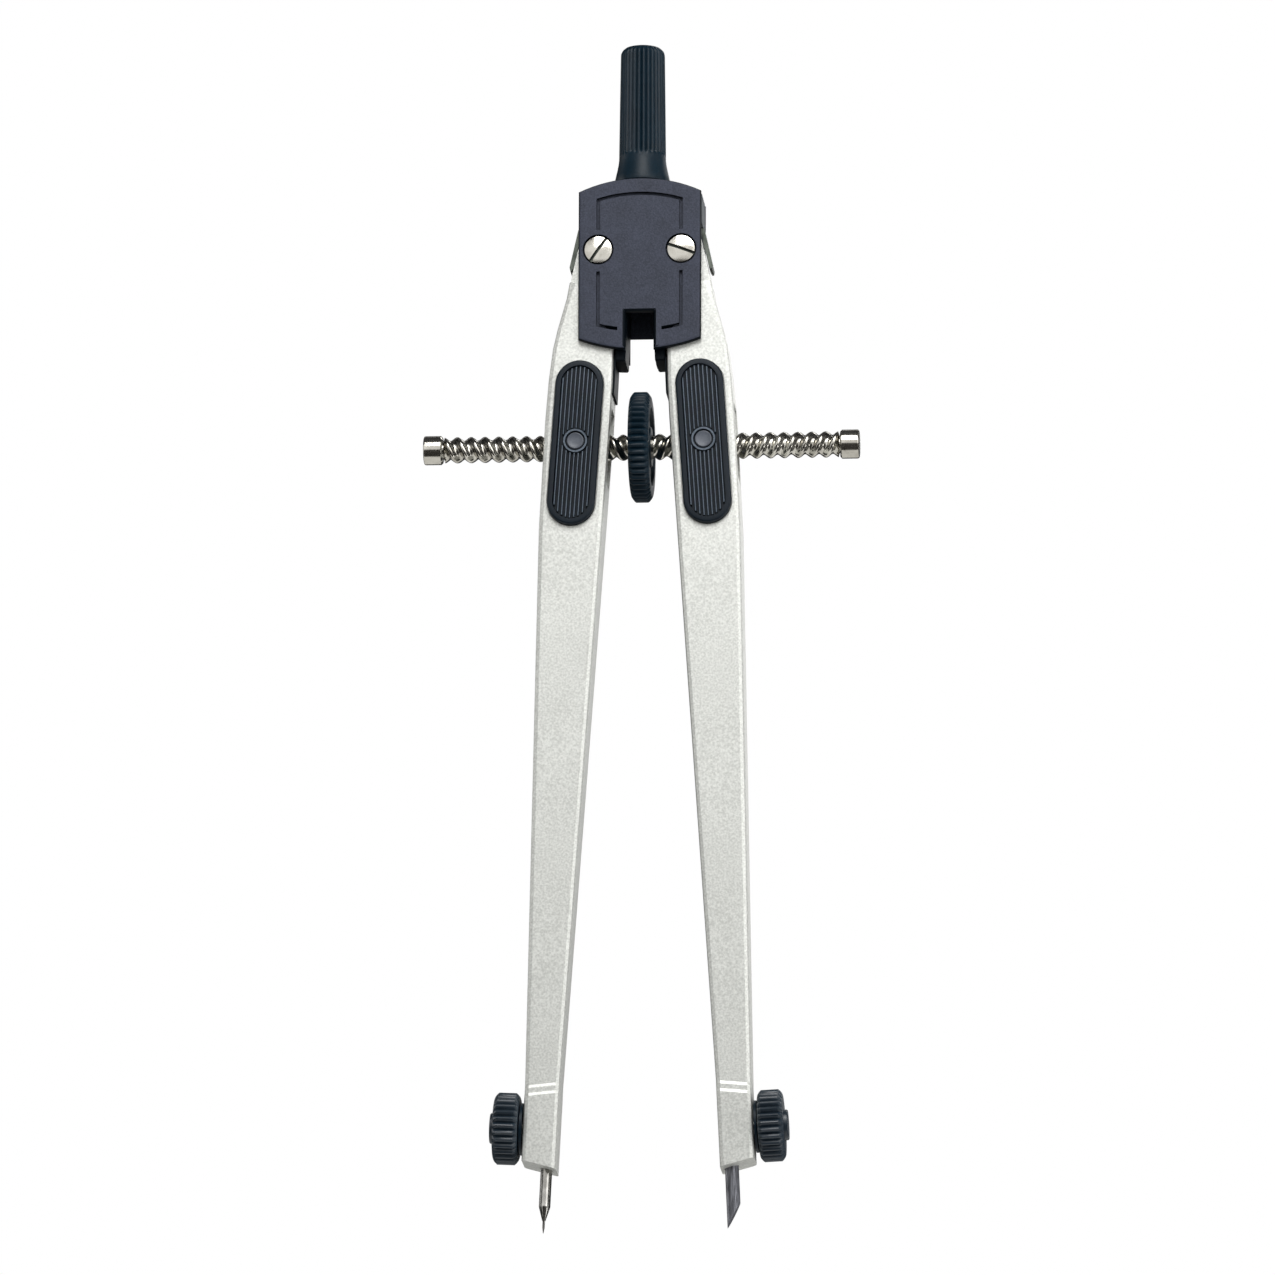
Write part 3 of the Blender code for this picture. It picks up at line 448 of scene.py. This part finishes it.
finishes = {
    # Handle, wheel, head block and collars: blue-black, with a soft sheen along the flutes
    "black_plastic": moulded_nylon(
        "black_moulded_nylon", "#02111A", "#0A222F", roughness=0.4, relief=0.25, gloss=0.18
    ),
    # Clamp knobs: a shade paler and glossier, as turning fingers leave them
    "grip_nylon": moulded_nylon(
        "polished_black_nylon", "#101C26", "#202E39", roughness=0.34, relief=0.15, gloss=0.5
    ),
    # Hinge inserts and the covers' edges: a deeper, duller copy of the black nylon, painted shade on the head's
    # sides that draws its outline
    "shaded_black_nylon": moulded_nylon(
        "painted_shade_deep_black", "#03070B", "#081017", roughness=0.5, relief=0.15, gloss=0.06
    ),
    # Finger pads between their ribs: matt and dark, so that the ribs stand out
    "pad_nylon": moulded_nylon(
        "matt_black_nylon", "#060E15", "#131E28", roughness=0.42, relief=0.15, gloss=0.18
    ),
    # Crests of ribs and rings: greyer and smoother, a painted highlight along them
    "crest_highlight_nylon": moulded_nylon(
        "painted_crest_highlight", "#35404B", "#616C79", roughness=0.34, relief=0.1, gloss=0.36
    ),
    # Ends of the trunnion nuts' pins: a mid grey that shows in the pads' rings
    "pin_nylon": moulded_nylon(
        "grey_turned_nylon", "#474C55", "#5C616A", roughness=0.4, relief=0.15, gloss=0.4
    ),
    # Head covers: slate grey with the even, slightly coarser grain of an eroded mould
    "cover_plastic": moulded_nylon(
        "grey_eroded_nylon",
        "#272B36",
        "#404452",
        roughness=0.58,
        relief=0.45,
        gloss=0.22,
        grain=0.2,
    ),
    # Legs: pale silver with a fine sparkle
    "silver_paint": silver_lacquer(),
    # Side strips: dull, dark bare steel. The same steel on the floors of the screws' slots is painted shade
    "bare_metal": bright_metal(
        "bare_strip_steel", "#3C403C", "#5C605A", roughness=0.42, grain=0.1, stretch=(1.0, 1.0, 0.1)
    ),
    # Spindle, caps and pivot screws: bright warm plate that mirrors the studio's cards
    "nickel": bright_metal(
        "nickel_plate", "#AFABA2", "#D2CFC6", roughness=0.14, grain=0.12, stretch=(1.0, 0.15, 1.0)
    ),
    # Needle, clamp screws and pivot nuts: greyer, with grinding lines
    "steel": bright_metal(
        "ground_steel", "#989691", "#C4C2BD", roughness=0.18, grain=0.08, stretch=(1.0, 1.0, 0.08)
    ),
    # Lead: dark grey with a soft sheen
    "graphite": drawn_graphite(),
}


def finished(name, bm, nodes, place=None, finish=None, second_finish=None, sharp=sharp_angle):
    """Makes the piece that stands for these nodes, at its place, on their body.

    Faces with material index 1 get the second finish. Edges sharper than sharp stay sharp.
    """
    if place is not None:
        bmesh.ops.transform(bm, matrix=place, verts=bm.verts)
    bmesh.ops.recalc_face_normals(bm, faces=bm.faces)
    for face in bm.faces:
        face.smooth = True
    for edge in bm.edges:
        edge.smooth = edge.calc_face_angle(0.0) < sharp
    mesh = bpy.data.meshes.new(name)
    bm.to_mesh(mesh)
    bm.free()
    if "custom_normal" in mesh.attributes:
        mesh.attributes.remove(mesh.attributes["custom_normal"])
    mesh.materials.append(finishes[finish or slot_of[nodes[0]]])
    if second_finish:
        mesh.materials.append(finishes[second_finish])
    item = bpy.data.objects.new(name, mesh)
    bpy.context.scene.collection.objects.link(item)
    weighted = item.modifiers.new("flat_faces_stay_flat", "WEIGHTED_NORMAL")
    weighted.keep_sharp = True
    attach(item, body_of[nodes[0]])
    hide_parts(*nodes)


def turned(profile, steps, teeth=0, depth=0.0):
    """Spins (place along Z, radius, tooth share) points about Z, with ridges cut by depth."""
    bm = bmesh.new()
    share = bm.verts.layers.float.new("tooth_share")
    points = []
    for z, radius, *tooth in profile:
        vert = bm.verts.new((radius, 0.0, z))
        vert[share] = tooth[0] if tooth else 0.0
        points.append(vert)
    edges = [bm.edges.new(pair) for pair in zip(points, points[1:])]
    if profile[0][1] > 0.0 and profile[-1][1] > 0.0:
        edges.append(bm.edges.new((points[-1], points[0])))
    bmesh.ops.spin(
        bm,
        geom=points + edges,
        cent=(0.0, 0.0, 0.0),
        axis=(0.0, 0.0, 1.0),
        angle=2 * math.pi,
        steps=steps,
        use_merge=True,
    )
    bmesh.ops.remove_doubles(bm, verts=bm.verts, dist=same_place)
    if teeth:
        for vert in bm.verts:
            radius = math.hypot(vert.co.x, vert.co.y)
            ridge = abs(math.sin(teeth * math.atan2(vert.co.y, vert.co.x) / 2))
            if radius > 0.0:
                new = radius - depth * vert[share] * (1.0 - ridge)
                vert.co.x *= new / radius
                vert.co.y *= new / radius
    return bm


def facing(direction):
    """Turns a body made along +Z so that it points along another axis."""
    return Vector(direction).to_track_quat("Z", "Y").to_matrix().to_4x4()


def leg_frame(side_name):
    """From a leg's own axes, X out across it and Z up along it, to the model's."""
    side = sides[side_name]
    pivot = left_pivot if side < 0 else right_pivot
    turn = Matrix.Rotation(-side * leg_tilt, 4, "Y")
    return Matrix.Translation(pivot) @ turn


def joined(bm, other):
    """Adds the geometry of other to bm."""
    scratch = bpy.data.meshes.new("scratch")
    other.to_mesh(scratch)
    other.free()
    bm.from_mesh(scratch)
    bpy.data.meshes.remove(scratch)
    return bm


def soften(bm, width):
    """Rounds the sharp edges."""
    sharp = [
        e for e in bm.edges if len(e.link_faces) == 2 and e.calc_face_angle(0.0) > sharp_angle
    ]
    bmesh.ops.bevel(
        bm,
        geom=sharp,
        offset=width,
        offset_type="OFFSET",
        segments=2,
        profile=0.5,
        affect="EDGES",
        clamp_overlap=True,
        material=-1,
    )
    return bm


def copy_of(node):
    """The model's own solid, with its loose triangles merged."""
    bm = bmesh.new()
    bm.from_mesh(frame["nodes"][node].data)
    bmesh.ops.remove_doubles(bm, verts=bm.verts, dist=same_place_in_model)
    bmesh.ops.dissolve_limit(bm, angle_limit=flat_angle, verts=bm.verts, edges=bm.edges)
    return bm


def dress_handle():
    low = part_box("handle_grip")[0]
    profile = [(0.0, handle_bore, 0.0), *handle_profile, (handle_profile[-1][0], 0.0, 0.0)]
    profile = [(handle_bore_top, 0.0, 0.0), (handle_bore_top, handle_bore, 0.0)] + profile
    bm = turned(profile, handle_flutes * teeth_points, handle_flutes, handle_flute_depth)
    place = Matrix.Translation((head_centre.x, head_centre.y, low.z))
    finished("fluted_handle", bm, ["handle_grip"], place)


def dress_wheel():
    right = [*wheel_profile]
    left = [(-z, r, tooth) for z, r, tooth in reversed(right)]
    profile = [(0.0, wheel_bore, 0.0), (wheel_bore_reach, wheel_bore, 0.0), *right, *left]
    profile.append((-wheel_bore_reach, wheel_bore, 0.0))
    bm = turned(profile, wheel_teeth * teeth_points, wheel_teeth, wheel_tooth_depth)
    place = Matrix.Translation(spindle_centre) @ facing((1.0, 0.0, 0.0))
    finished("toothed_wheel", bm, ["adjusting_wheel"], place)


def dress_knob(side_name):
    side = sides[side_name]
    profile = [(knob_bore_end, 0.0, 0.0), (knob_bore_end, knob_bore, 0.0), *knob_profile]
    bm = turned(profile, knob_teeth * teeth_points, knob_teeth, knob_tooth_depth)
    here = Matrix.Translation((side * knob_inner, 0.0, -clamp_drop)) @ facing((side, 0.0, 0.0))
    place = leg_frame(side_name) @ here
    node = side_name + "_clamp_knob"
    finished(side_name + "_toothed_knob", bm, [node], place, finish="grip_nylon")


def threaded_half():
    """Half of the spindle, along Z: a steep thread with rounded crests, and its thin end."""
    bm = bmesh.new()
    bmesh.ops.create_circle(bm, cap_ends=False, segments=thread_points, radius=thread_radius)
    for vert in bm.verts:
        angle = math.atan2(vert.co.y, vert.co.x)
        crest = abs(math.cos(thread_starts * angle / 2)) ** thread_sharpness
        radius = thread_radius - thread_depth * (1.0 - crest)
        vert.co.x = radius * math.cos(angle)
        vert.co.y = radius * math.sin(angle)
        vert.co.z = thread_start
    steps = round((thread_end - thread_start) / thread_lead * thread_steps_per_lead)
    step = (thread_end - thread_start) / steps
    start_edges = list(bm.edges)
    spun = bmesh.ops.spin(
        bm,
        geom=list(bm.verts) + start_edges,
        cent=(0.0, 0.0, 0.0),
        axis=(0.0, 0.0, 1.0),
        dvec=(0.0, 0.0, step),
        angle=-2 * math.pi * (thread_end - thread_start) / thread_lead,
        steps=steps,
        use_merge=False,
    )
    bmesh.ops.contextual_create(bm, geom=start_edges)
    last = [e for e in spun["geom_last"] if isinstance(e, bmesh.types.BMEdge)]
    for place in (thread_end + spindle_neck_reach, spindle_end):
        grown = bmesh.ops.extrude_edge_only(bm, edges=last)["geom"]
        last = [e for e in grown if isinstance(e, bmesh.types.BMEdge)]
        for vert in {v for e in last for v in e.verts}:
            angle = math.atan2(vert.co.y, vert.co.x)
            vert.co = (spindle_thin * math.cos(angle), spindle_thin * math.sin(angle), place)
    bmesh.ops.contextual_create(bm, geom=last)
    return bm


def dress_spindle():
    bm = threaded_half()
    left = threaded_half()
    bmesh.ops.scale(left, verts=left.verts, vec=(1.0, 1.0, -1.0))
    joined(bm, left)
    middle = [
        (-thread_start, 0.0),
        (-thread_start, spindle_middle),
        (thread_start, spindle_middle),
        (thread_start, 0.0),
    ]
    joined(bm, turned(middle, fine_steps))
    place = Matrix.Translation(spindle_centre) @ facing((1.0, 0.0, 0.0))
    finished("threaded_spindle", bm, ["spindle"], place)


def dress_cap(side_name):
    side = sides[side_name]
    bore = spindle_thin + cap_clearance
    corner = cap_edge * cap_edge_share
    profile = [
        (cap_outer - cap_wall, 0.0),
        (cap_outer - cap_wall, bore),
        (cap_inner, bore),
        (cap_inner, cap_radius - cap_edge),
        (cap_inner + cap_edge, cap_radius),
        (cap_outer - cap_edge, cap_radius),
        (cap_outer - corner, cap_radius - corner),
        (cap_outer, cap_radius - cap_edge),
        (cap_outer, 0.0),
    ]
    place = Matrix.Translation(spindle_centre) @ facing((side, 0.0, 0.0))
    bm = turned(profile, fine_steps)
    finished(side_name + "_spindle_cap", bm, [side_name + "_end_cap"], place)


def carved(bm, cutter):
    """Cuts one closed body out of another."""
    items = []
    for name, shape in (("body", bm), ("cutter", cutter)):
        mesh = bpy.data.meshes.new(name)
        bmesh.ops.recalc_face_normals(shape, faces=shape.faces)
        shape.to_mesh(mesh)
        shape.free()
        items.append(bpy.data.objects.new(name, mesh))
        bpy.context.scene.collection.objects.link(items[-1])
    body, tool = items
    modifier = body.modifiers.new("cut", "BOOLEAN")
    modifier.operation = "DIFFERENCE"
    modifier.solver = "EXACT"
    modifier.object = tool
    graph = bpy.context.evaluated_depsgraph_get()
    result = bmesh.new()
    result.from_object(body, graph)
    for item in items:
        mesh = item.data
        bpy.data.objects.remove(item)
        bpy.data.meshes.remove(mesh)
    return result


def dress_pivot_screw(side_name):
    side = sides[side_name]
    dome = [(screw_dome * up, screw_radius * out) for up, out in screw_dome_shares]
    profile = [
        *dome,
        (0.0, screw_radius - screw_edge * screw_edge_share),
        (-screw_edge, screw_radius),
        (-screw_head_height, screw_radius),
        (-screw_head_height, screw_neck_radius),
        (-screw_neck_end, screw_neck_radius),
        (-screw_neck_end, screw_shank_radius),
        (-screw_length, screw_shank_radius),
        (-screw_length, 0.0),
    ]
    bm = turned(profile, fine_steps)
    slot = bmesh.new()
    bmesh.ops.create_cube(slot, size=1.0)
    bmesh.ops.scale(
        slot, verts=slot.verts, vec=(screw_radius * 3, screw_slot_width, screw_slot_depth * 2)
    )
    bmesh.ops.translate(slot, verts=slot.verts, vec=(0.0, 0.0, screw_dome))
    bm = carved(bm, slot)
    # The slot's faces get the dull dark steel: painted shade in the slot
    floor = screw_dome - screw_slot_depth - flat_within
    for face in bm.faces:
        middle = face.calc_center_median()
        if abs(middle.y) < screw_slot_width / 2 + flat_within and middle.z > floor:
            face.material_index = 1
    turn = Matrix.Rotation(screw_slot_turns[side_name], 4, "Z")
    out = Matrix.Rotation(math.pi / 2, 4, "X")
    pivot = left_pivot if side < 0 else right_pivot
    place = Matrix.Translation(pivot + Vector((0.0, screw_dome - screw_face, 0.0))) @ out @ turn
    node = side_name + "_pivot_screw"
    finished(side_name + "_slotted_screw", bm, [node], place, second_finish="bare_metal")


def stadium(bm, half_width, half_length, segments=64):
    """A filled pad outline in the XY plane, long in Y. Returns its face."""
    made = bmesh.ops.create_circle(bm, cap_ends=True, segments=segments, radius=half_width)
    turn = Matrix.Rotation(math.pi / segments, 3, "Z")
    bmesh.ops.rotate(bm, verts=made["verts"], cent=(0.0, 0.0, 0.0), matrix=turn)
    for vert in made["verts"]:
        vert.co.y += math.copysign(half_length - half_width, vert.co.y)
    return made["verts"][0].link_faces[0]


def rib(x, low, high, floor, top):
    """One rib of a pad, rounded along its crest."""
    bm = bmesh.new()
    bmesh.ops.create_cube(bm, size=1.0)
    bmesh.ops.scale(bm, verts=bm.verts, vec=(rib_width, high - low, top - floor))
    bmesh.ops.translate(bm, verts=bm.verts, vec=(x, (low + high) / 2, (top + floor) / 2))
    upper = [e for e in bm.edges if all(v.co.z > (top + floor) / 2 for v in e.verts)]
    bmesh.ops.bevel(
        bm,
        geom=upper,
        offset=rib_width * rib_round_share,
        segments=3,
        profile=0.5,
        affect="EDGES",
        material=-1,
    )
    return bm


def pad_body():
    """Finger pad, face up along Z: a rounded rim round a floor with ribs and a ring."""
    bm = bmesh.new()
    face = stadium(bm, pad_half_width, pad_half_length)
    grown = bmesh.ops.extrude_face_region(bm, geom=[face])["geom"]
    verts = [v for v in grown if isinstance(v, bmesh.types.BMVert)]
    bmesh.ops.translate(bm, verts=verts, vec=(0.0, 0.0, pad_thickness))
    top = [f for f in grown if isinstance(f, bmesh.types.BMFace)]
    bmesh.ops.delete(bm, geom=[face], context="FACES_ONLY")
    bmesh.ops.contextual_create(bm, geom=[e for e in bm.edges if e.is_boundary])
    rim = [e for f in top for e in f.edges]
    bmesh.ops.bevel(
        bm, geom=rim, offset=pad_round, segments=4, profile=0.5, affect="EDGES", material=-1
    )
    crown = max(bm.faces, key=lambda f: f.calc_center_median().z + f.calc_area())
    bmesh.ops.inset_region(bm, faces=[crown], thickness=pad_rim - pad_round, use_even_offset=True)
    bmesh.ops.inset_region(
        bm, faces=[crown], thickness=pad_inner_slope, depth=-pad_floor, use_even_offset=True
    )
    floor = pad_thickness - pad_floor
    inner_half = pad_half_width - pad_rim
    straight = pad_half_length - pad_half_width
    spacing = 2 * inner_half / rib_count
    crest = pad_thickness - rib_below_rim
    for i in range(rib_count):
        x = (i - (rib_count - 1) / 2) * spacing
        reach = abs(x) + rib_width / 2
        end = straight + math.sqrt(inner_half**2 - reach**2) - rib_end_gap
        near = abs(x) - rib_width / 2
        stop = math.sqrt(ring_outer**2 - near**2) if near < ring_outer else 0.0
        runs = [(-end, end)]
        if stop > 0.0:
            runs = [(-end, pad_pin_above - stop), (pad_pin_above + stop, end)]
        for low, high in runs:
            joined(bm, rib(x, low, high, floor - rib_sink, crest))
    ring = turned(
        [
            (floor - rib_sink, ring_inner),
            (crest - ring_edge, ring_inner),
            (crest, ring_inner + ring_edge),
            (crest, ring_outer - ring_edge),
            (crest - ring_edge, ring_outer),
            (floor - rib_sink, ring_outer),
        ],
        fine_steps,
    )
    bmesh.ops.translate(ring, verts=ring.verts, vec=(0.0, pad_pin_above, 0.0))
    return joined(bm, ring)


def dress_pad(side_name, face):
    """A pad on the front or rear face of a leg. The crests of its ribs and ring get a paler finish, a painted
    highlight.
    """
    side = sides[side_name]
    way = -1.0 if face == "front" else 1.0
    bm = pad_body()
    out = Matrix(((1.0, 0.0, 0.0), (0.0, 0.0, way), (0.0, 1.0, 0.0))).to_4x4()
    centre = Vector((side * pad_centre.x, way * pad_back, pad_centre.z))
    lean = Matrix.Rotation(-side * pad_tilt, 4, "Y")
    place = leg_frame(side_name) @ Matrix.Translation(centre) @ lean @ out
    name = side_name + "_" + face
    # Crests of the ribs and ring get the paler, glossier second finish: a painted highlight
    bm.normal_update()
    for item in bm.faces:
        middle = item.calc_center_median()
        across = abs(middle.x)
        crest = item.normal.z > crest_facing and middle.z > pad_thickness - pad_floor / 2
        inside = math.hypot(across, max(0.0, abs(middle.y) - pad_half_length + pad_half_width))
        item.material_index = 1 if crest and inside < pad_half_width - pad_rim else 0
    nodes = [name + "_pad"]
    finished(name + "_finger_pad", bm, nodes, place, finish="pad_nylon", second_finish="crest_highlight_nylon")


def dress_needle():
    place = leg_frame("left") @ Matrix.Translation((-socket_offset, 0.0, -needle_reach))
    finished("shouldered_needle", turned(needle_profile, fine_steps), ["needle"], place)


def dress_lead():
    """Round lead, cut through on a slope."""
    bm = turned(
        [(0.0, 0.0), (0.0, lead_radius), (lead_length, lead_radius), (lead_length, 0.0)], fine_steps
    )
    slope = Vector((-lead_slope_height, 0.0, 2 * lead_radius)).normalized()
    cut = bmesh.ops.bisect_plane(
        bm,
        geom=list(bm.verts) + list(bm.edges) + list(bm.faces),
        plane_co=(-lead_radius, 0.0, lead_short),
        plane_no=slope,
        clear_inner=True,
    )
    rim = [e for e in cut["geom_cut"] if isinstance(e, bmesh.types.BMEdge)]
    bmesh.ops.contextual_create(bm, geom=rim)
    place = leg_frame("right") @ Matrix.Translation((socket_offset, 0.0, -needle_reach))
    finished("sloped_lead", bm, ["lead"], place)


def dress_leg(side_name):
    """The model's leg, with soft slopes above the foot, a fuller knee and a seam groove painted black as painted
    shade.
    """
    node = side_name + "_leg"
    bm = copy_of(node)
    place = leg_frame(side_name)
    bmesh.ops.transform(bm, matrix=place.inverted(), verts=bm.verts)
    for vert in bm.verts:
        out = math.hypot(vert.co.x - sides[side_name] * socket_offset, vert.co.y)
        if out < socket_reach or vert.co.z > foot_step_high:
            continue
        # The steps are drawn across the leg on a slant, which is taken off to tell them apart
        down = foot_step_top - vert.co.z - sides[side_name] * vert.co.x * foot_step_slant
        for low, high, drop, inward in foot_step_moves:
            if low < down < high:
                vert.co.z -= drop
                vert.co.y -= math.copysign(inward, vert.co.y)
    for vert in bm.verts:
        if knee_low < vert.co.z < knee_high and sides[side_name] * vert.co.x > knee_outer:
            vert.co.x += sides[side_name] * knee_fill
    seam = bmesh.new()
    for way in (-1, 1):
        made = bmesh.ops.create_cube(seam, size=1.0)
        bmesh.ops.scale(seam, verts=made["verts"], vec=(seam_reach, 2 * seam_depth, seam_width))
        bmesh.ops.translate(
            seam, verts=made["verts"], vec=(0.0, way * leg_half_depth, -seam_below_pivot)
        )
    bm = carved(bm, seam)
    # The seam's faces get the black nylon finish: painted shade in the groove
    deepest = leg_half_depth - 2 * seam_depth
    for face in bm.faces:
        middle = face.calc_center_median()
        in_seam = abs(middle.z + seam_below_pivot) < seam_width / 2 + flat_within
        if in_seam and deepest < abs(middle.y) < leg_half_depth - flat_within:
            face.material_index = 1
    finished(
        node + "_dressed", bm, [node], place, second_finish="black_plastic", sharp=crisp_angle
    )


def dress_hinge_insert(side_name):
    """The model's insert, with the thin tongue that runs down the inner side of the leg."""
    node = side_name + "_hinge_insert"
    bm = copy_of(node)
    place = leg_frame(side_name)
    bmesh.ops.transform(bm, matrix=place.inverted(), verts=bm.verts)
    tongue = bmesh.new()
    bmesh.ops.create_cube(tongue, size=1.0)
    bmesh.ops.scale(
        tongue, verts=tongue.verts, vec=(tongue_thickness, tongue_depth, tongue_top - tongue_end)
    )
    middle = -sides[side_name] * (leg_inner + tongue_thickness / 2)
    bmesh.ops.translate(
        tongue, verts=tongue.verts, vec=(middle, 0.0, (tongue_top + tongue_end) / 2)
    )
    soften(tongue, tongue_thickness / 4)
    joined(bm, tongue)
    # The insert is black nylon. This darker, duller copy of it is painted shade on the head's sides
    finished(node + "_dressed", bm, [node], place, finish="shaded_black_nylon")


def dress_trunnion_nut(side_name):
    """The model's nut, with the broad dished ends that show in the rings of the pads."""
    node = side_name + "_trunnion_nut"
    bm = copy_of(node)
    low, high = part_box(node)
    axis = (low + high) / 2
    for vert in bm.verts:
        if abs(vert.co.y) > high.y - pin_dish:
            vert.co.y = math.copysign(high.y - pin_dish, vert.co.y)
    for way in (-1.0, 1.0):
        turn = Matrix.Translation((axis.x, way * high.y, axis.z)) @ facing((0.0, way, 0.0))
        end = turned(pin_profile, fine_steps)
        bmesh.ops.transform(end, matrix=turn, verts=end.verts)
        joined(bm, end)
    finished(node + "_dressed", bm, [node], finish="pin_nylon")


def dress_cover(node):
    """The model's cover: an eroded face, smooth edges painted deep black as painted shade, and a foot that slopes
    back.
    """
    bm = copy_of(node)
    low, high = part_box(node)
    outer = low.y if node == "front_cover" else high.y
    rim = [
        e
        for e in bm.edges
        if all(abs(v.co.y - outer) < flat_within for v in e.verts)
        and any(abs(f.normal.y) < 0.5 for f in e.link_faces)
    ]
    below = [
        e
        for e in rim
        if all(v.co.z < low.z + cover_foot_height for v in e.verts)
        and abs(e.verts[0].co.x - e.verts[1].co.x) > abs(e.verts[0].co.z - e.verts[1].co.z)
    ]
    for vert in {v for e in below for v in e.verts}:
        for edge in vert.link_edges:
            behind = edge.other_vert(vert)
            if (behind.co.xz - vert.co.xz).length < flat_within:
                behind.co.z -= cover_foot_slope
    soften(bm, cover_edge)
    # Faces that do not face front or back get the deep black: painted shade on the cover's edges and underside
    bm.normal_update()
    for face in bm.faces:
        face.material_index = 0 if abs(face.normal.y) > cover_facing else 1
    finished(node + "_dressed", bm, [node], second_finish="shaded_black_nylon")


def dress_copies():
    """Pieces that start from the model's own shape."""
    for node in ("front_cover", "rear_cover"):
        dress_cover(node)
    finished("head_block_dressed", soften(copy_of("head_block"), block_edge), ["head_block"])
    finished("handle_stem_dressed", copy_of("handle_stem"), ["handle_stem"])
    for side_name in sides:
        dress_leg(side_name)
        dress_hinge_insert(side_name)
        dress_trunnion_nut(side_name)
        for part in ("side_plate", "pivot_nut", "clamp_washer", "clamp_screw"):
            node = side_name + "_" + part
            # The nuts at the back are left as ground
            finish = "steel" if part == "pivot_nut" else None
            finished(node + "_dressed", copy_of(node), [node], finish=finish)


def look_at(item, target):
    item.rotation_euler = (target - item.location).to_track_quat("-Z", "Y").to_euler()


def lamp(name, size, power, place, target):
    """A soft square light."""
    data = bpy.data.lights.new(name, "AREA")
    data.shape = "SQUARE"
    data.size = size
    data.energy = power
    item = bpy.data.objects.new(name, data)
    item.location = place
    bpy.context.scene.collection.objects.link(item)
    look_at(item, target)


def card(name, colour, width, height, place, target):
    """A dark card that only reflections show, as a studio uses to draw the edges of metal."""
    bm = bmesh.new()
    bmesh.ops.create_grid(bm, x_segments=1, y_segments=1, size=0.5)
    bmesh.ops.scale(bm, verts=bm.verts, vec=(width, height, 1.0))
    mesh = bpy.data.meshes.new(name)
    bm.to_mesh(mesh)
    bm.free()
    material = bpy.data.materials.new(name)
    material.use_nodes = True
    material.node_tree.nodes["Principled BSDF"].inputs["Base Color"].default_value = linear(colour)
    mesh.materials.append(material)
    item = bpy.data.objects.new(name, mesh)
    item.location = place
    bpy.context.scene.collection.objects.link(item)
    look_at(item, target)
    item.visible_camera = False
    item.visible_diffuse = False
    item.visible_shadow = False
    item.visible_transmission = False


def seen_by_the_eye(tree):
    """1 for camera, glossy and transmission rays, and 0 for the others."""
    path = add(tree, "ShaderNodeLightPath")
    seen = add(
        tree,
        "ShaderNodeMath",
        {"operation": "MAXIMUM"},
        S0=path.outputs["Is Camera Ray"],
        S1=path.outputs["Is Glossy Ray"],
    ).outputs[0]
    seen = add(
        tree,
        "ShaderNodeMath",
        {"operation": "MAXIMUM"},
        S0=seen,
        S1=path.outputs["Is Transmission Ray"],
    ).outputs[0]
    return seen


def make_studio():
    scene = bpy.context.scene
    scene.view_settings.view_transform = "Standard"
    centre = photo_aim

    world = bpy.data.worlds.new("studio")
    scene.world = world
    world.use_nodes = True
    tree = world.node_tree
    tree.nodes.clear()
    seen = seen_by_the_eye(tree)
    soft = add(
        tree,
        "ShaderNodeBackground",
        Color=linear(soft_light_colour),
        Strength=soft_light_strength,
    ).outputs[0]
    white = add(tree, "ShaderNodeBackground", Color=linear("#FFFFFF"), Strength=1.0).outputs[0]
    mix = add(tree, "ShaderNodeMixShader", S0=seen, S1=soft, S2=white).outputs[0]
    add(tree, "ShaderNodeOutputWorld", Surface=mix)

    bm = bmesh.new()
    bmesh.ops.create_grid(bm, x_segments=1, y_segments=1, size=floor_half)
    bmesh.ops.translate(bm, verts=bm.verts, vec=(0.0, 0.0, floor_height))
    mesh = bpy.data.meshes.new("studio_floor")
    bm.to_mesh(mesh)
    bm.free()
    material = bpy.data.materials.new("pale_floor_paper")
    material.use_nodes = True
    tree = material.node_tree
    paper = tree.nodes["Principled BSDF"]
    paper.inputs["Base Color"].default_value = linear(floor_colour)
    paper.inputs["Roughness"].default_value = floor_roughness
    # The eye sees the paper's own colour, with enough of the lit paper left to keep the shadow
    shown = add(
        tree,
        "ShaderNodeMath",
        {"operation": "MULTIPLY"},
        S0=seen_by_the_eye(tree),
        S1=floor_shown_share,
    ).outputs[0]
    flat = add(tree, "ShaderNodeEmission", Color=linear(floor_colour), Strength=1.0).outputs[0]
    both = add(tree, "ShaderNodeMixShader", S0=shown, S1=paper.outputs[0], S2=flat)
    tree.links.new(both.outputs[0], tree.nodes["Material Output"].inputs["Surface"])
    material.cycles.emission_sampling = "NONE"
    mesh.materials.append(material)
    floor = bpy.data.objects.new("studio_floor", mesh)
    scene.collection.objects.link(floor)

    for name, size, power, place in lamps:
        lamp(name, size, power, place, centre)
    for name, colour, width, height, place in cards:
        card(name, colour, width, height, place, centre)

    data = bpy.data.cameras.new("photo_camera")
    data.lens = photo_lens
    data.sensor_width = photo_sensor
    data.clip_start = clip_near
    data.clip_end = clip_far
    camera = bpy.data.objects.new("photo_camera", data)
    scene.collection.objects.link(camera)
    back = Vector(
        (
            math.sin(photo_azimuth) * math.cos(photo_elevation),
            -math.cos(photo_azimuth) * math.cos(photo_elevation),
            math.sin(photo_elevation),
        )
    )
    camera.location = centre + back * photo_distance
    aim = (-back).to_track_quat("-Z", "Y").to_matrix().to_4x4()
    roll = Matrix.Rotation(photo_roll, 4, "Z")
    camera.rotation_euler = (aim @ roll).to_euler()
    scene.camera = camera


dress_handle()
dress_wheel()
dress_spindle()
for side_name in sides:
    dress_knob(side_name)
    dress_cap(side_name)
    dress_pivot_screw(side_name)
    dress_pad(side_name, "front")
    dress_pad(side_name, "rear")
dress_needle()
dress_lead()
dress_copies()
make_studio()
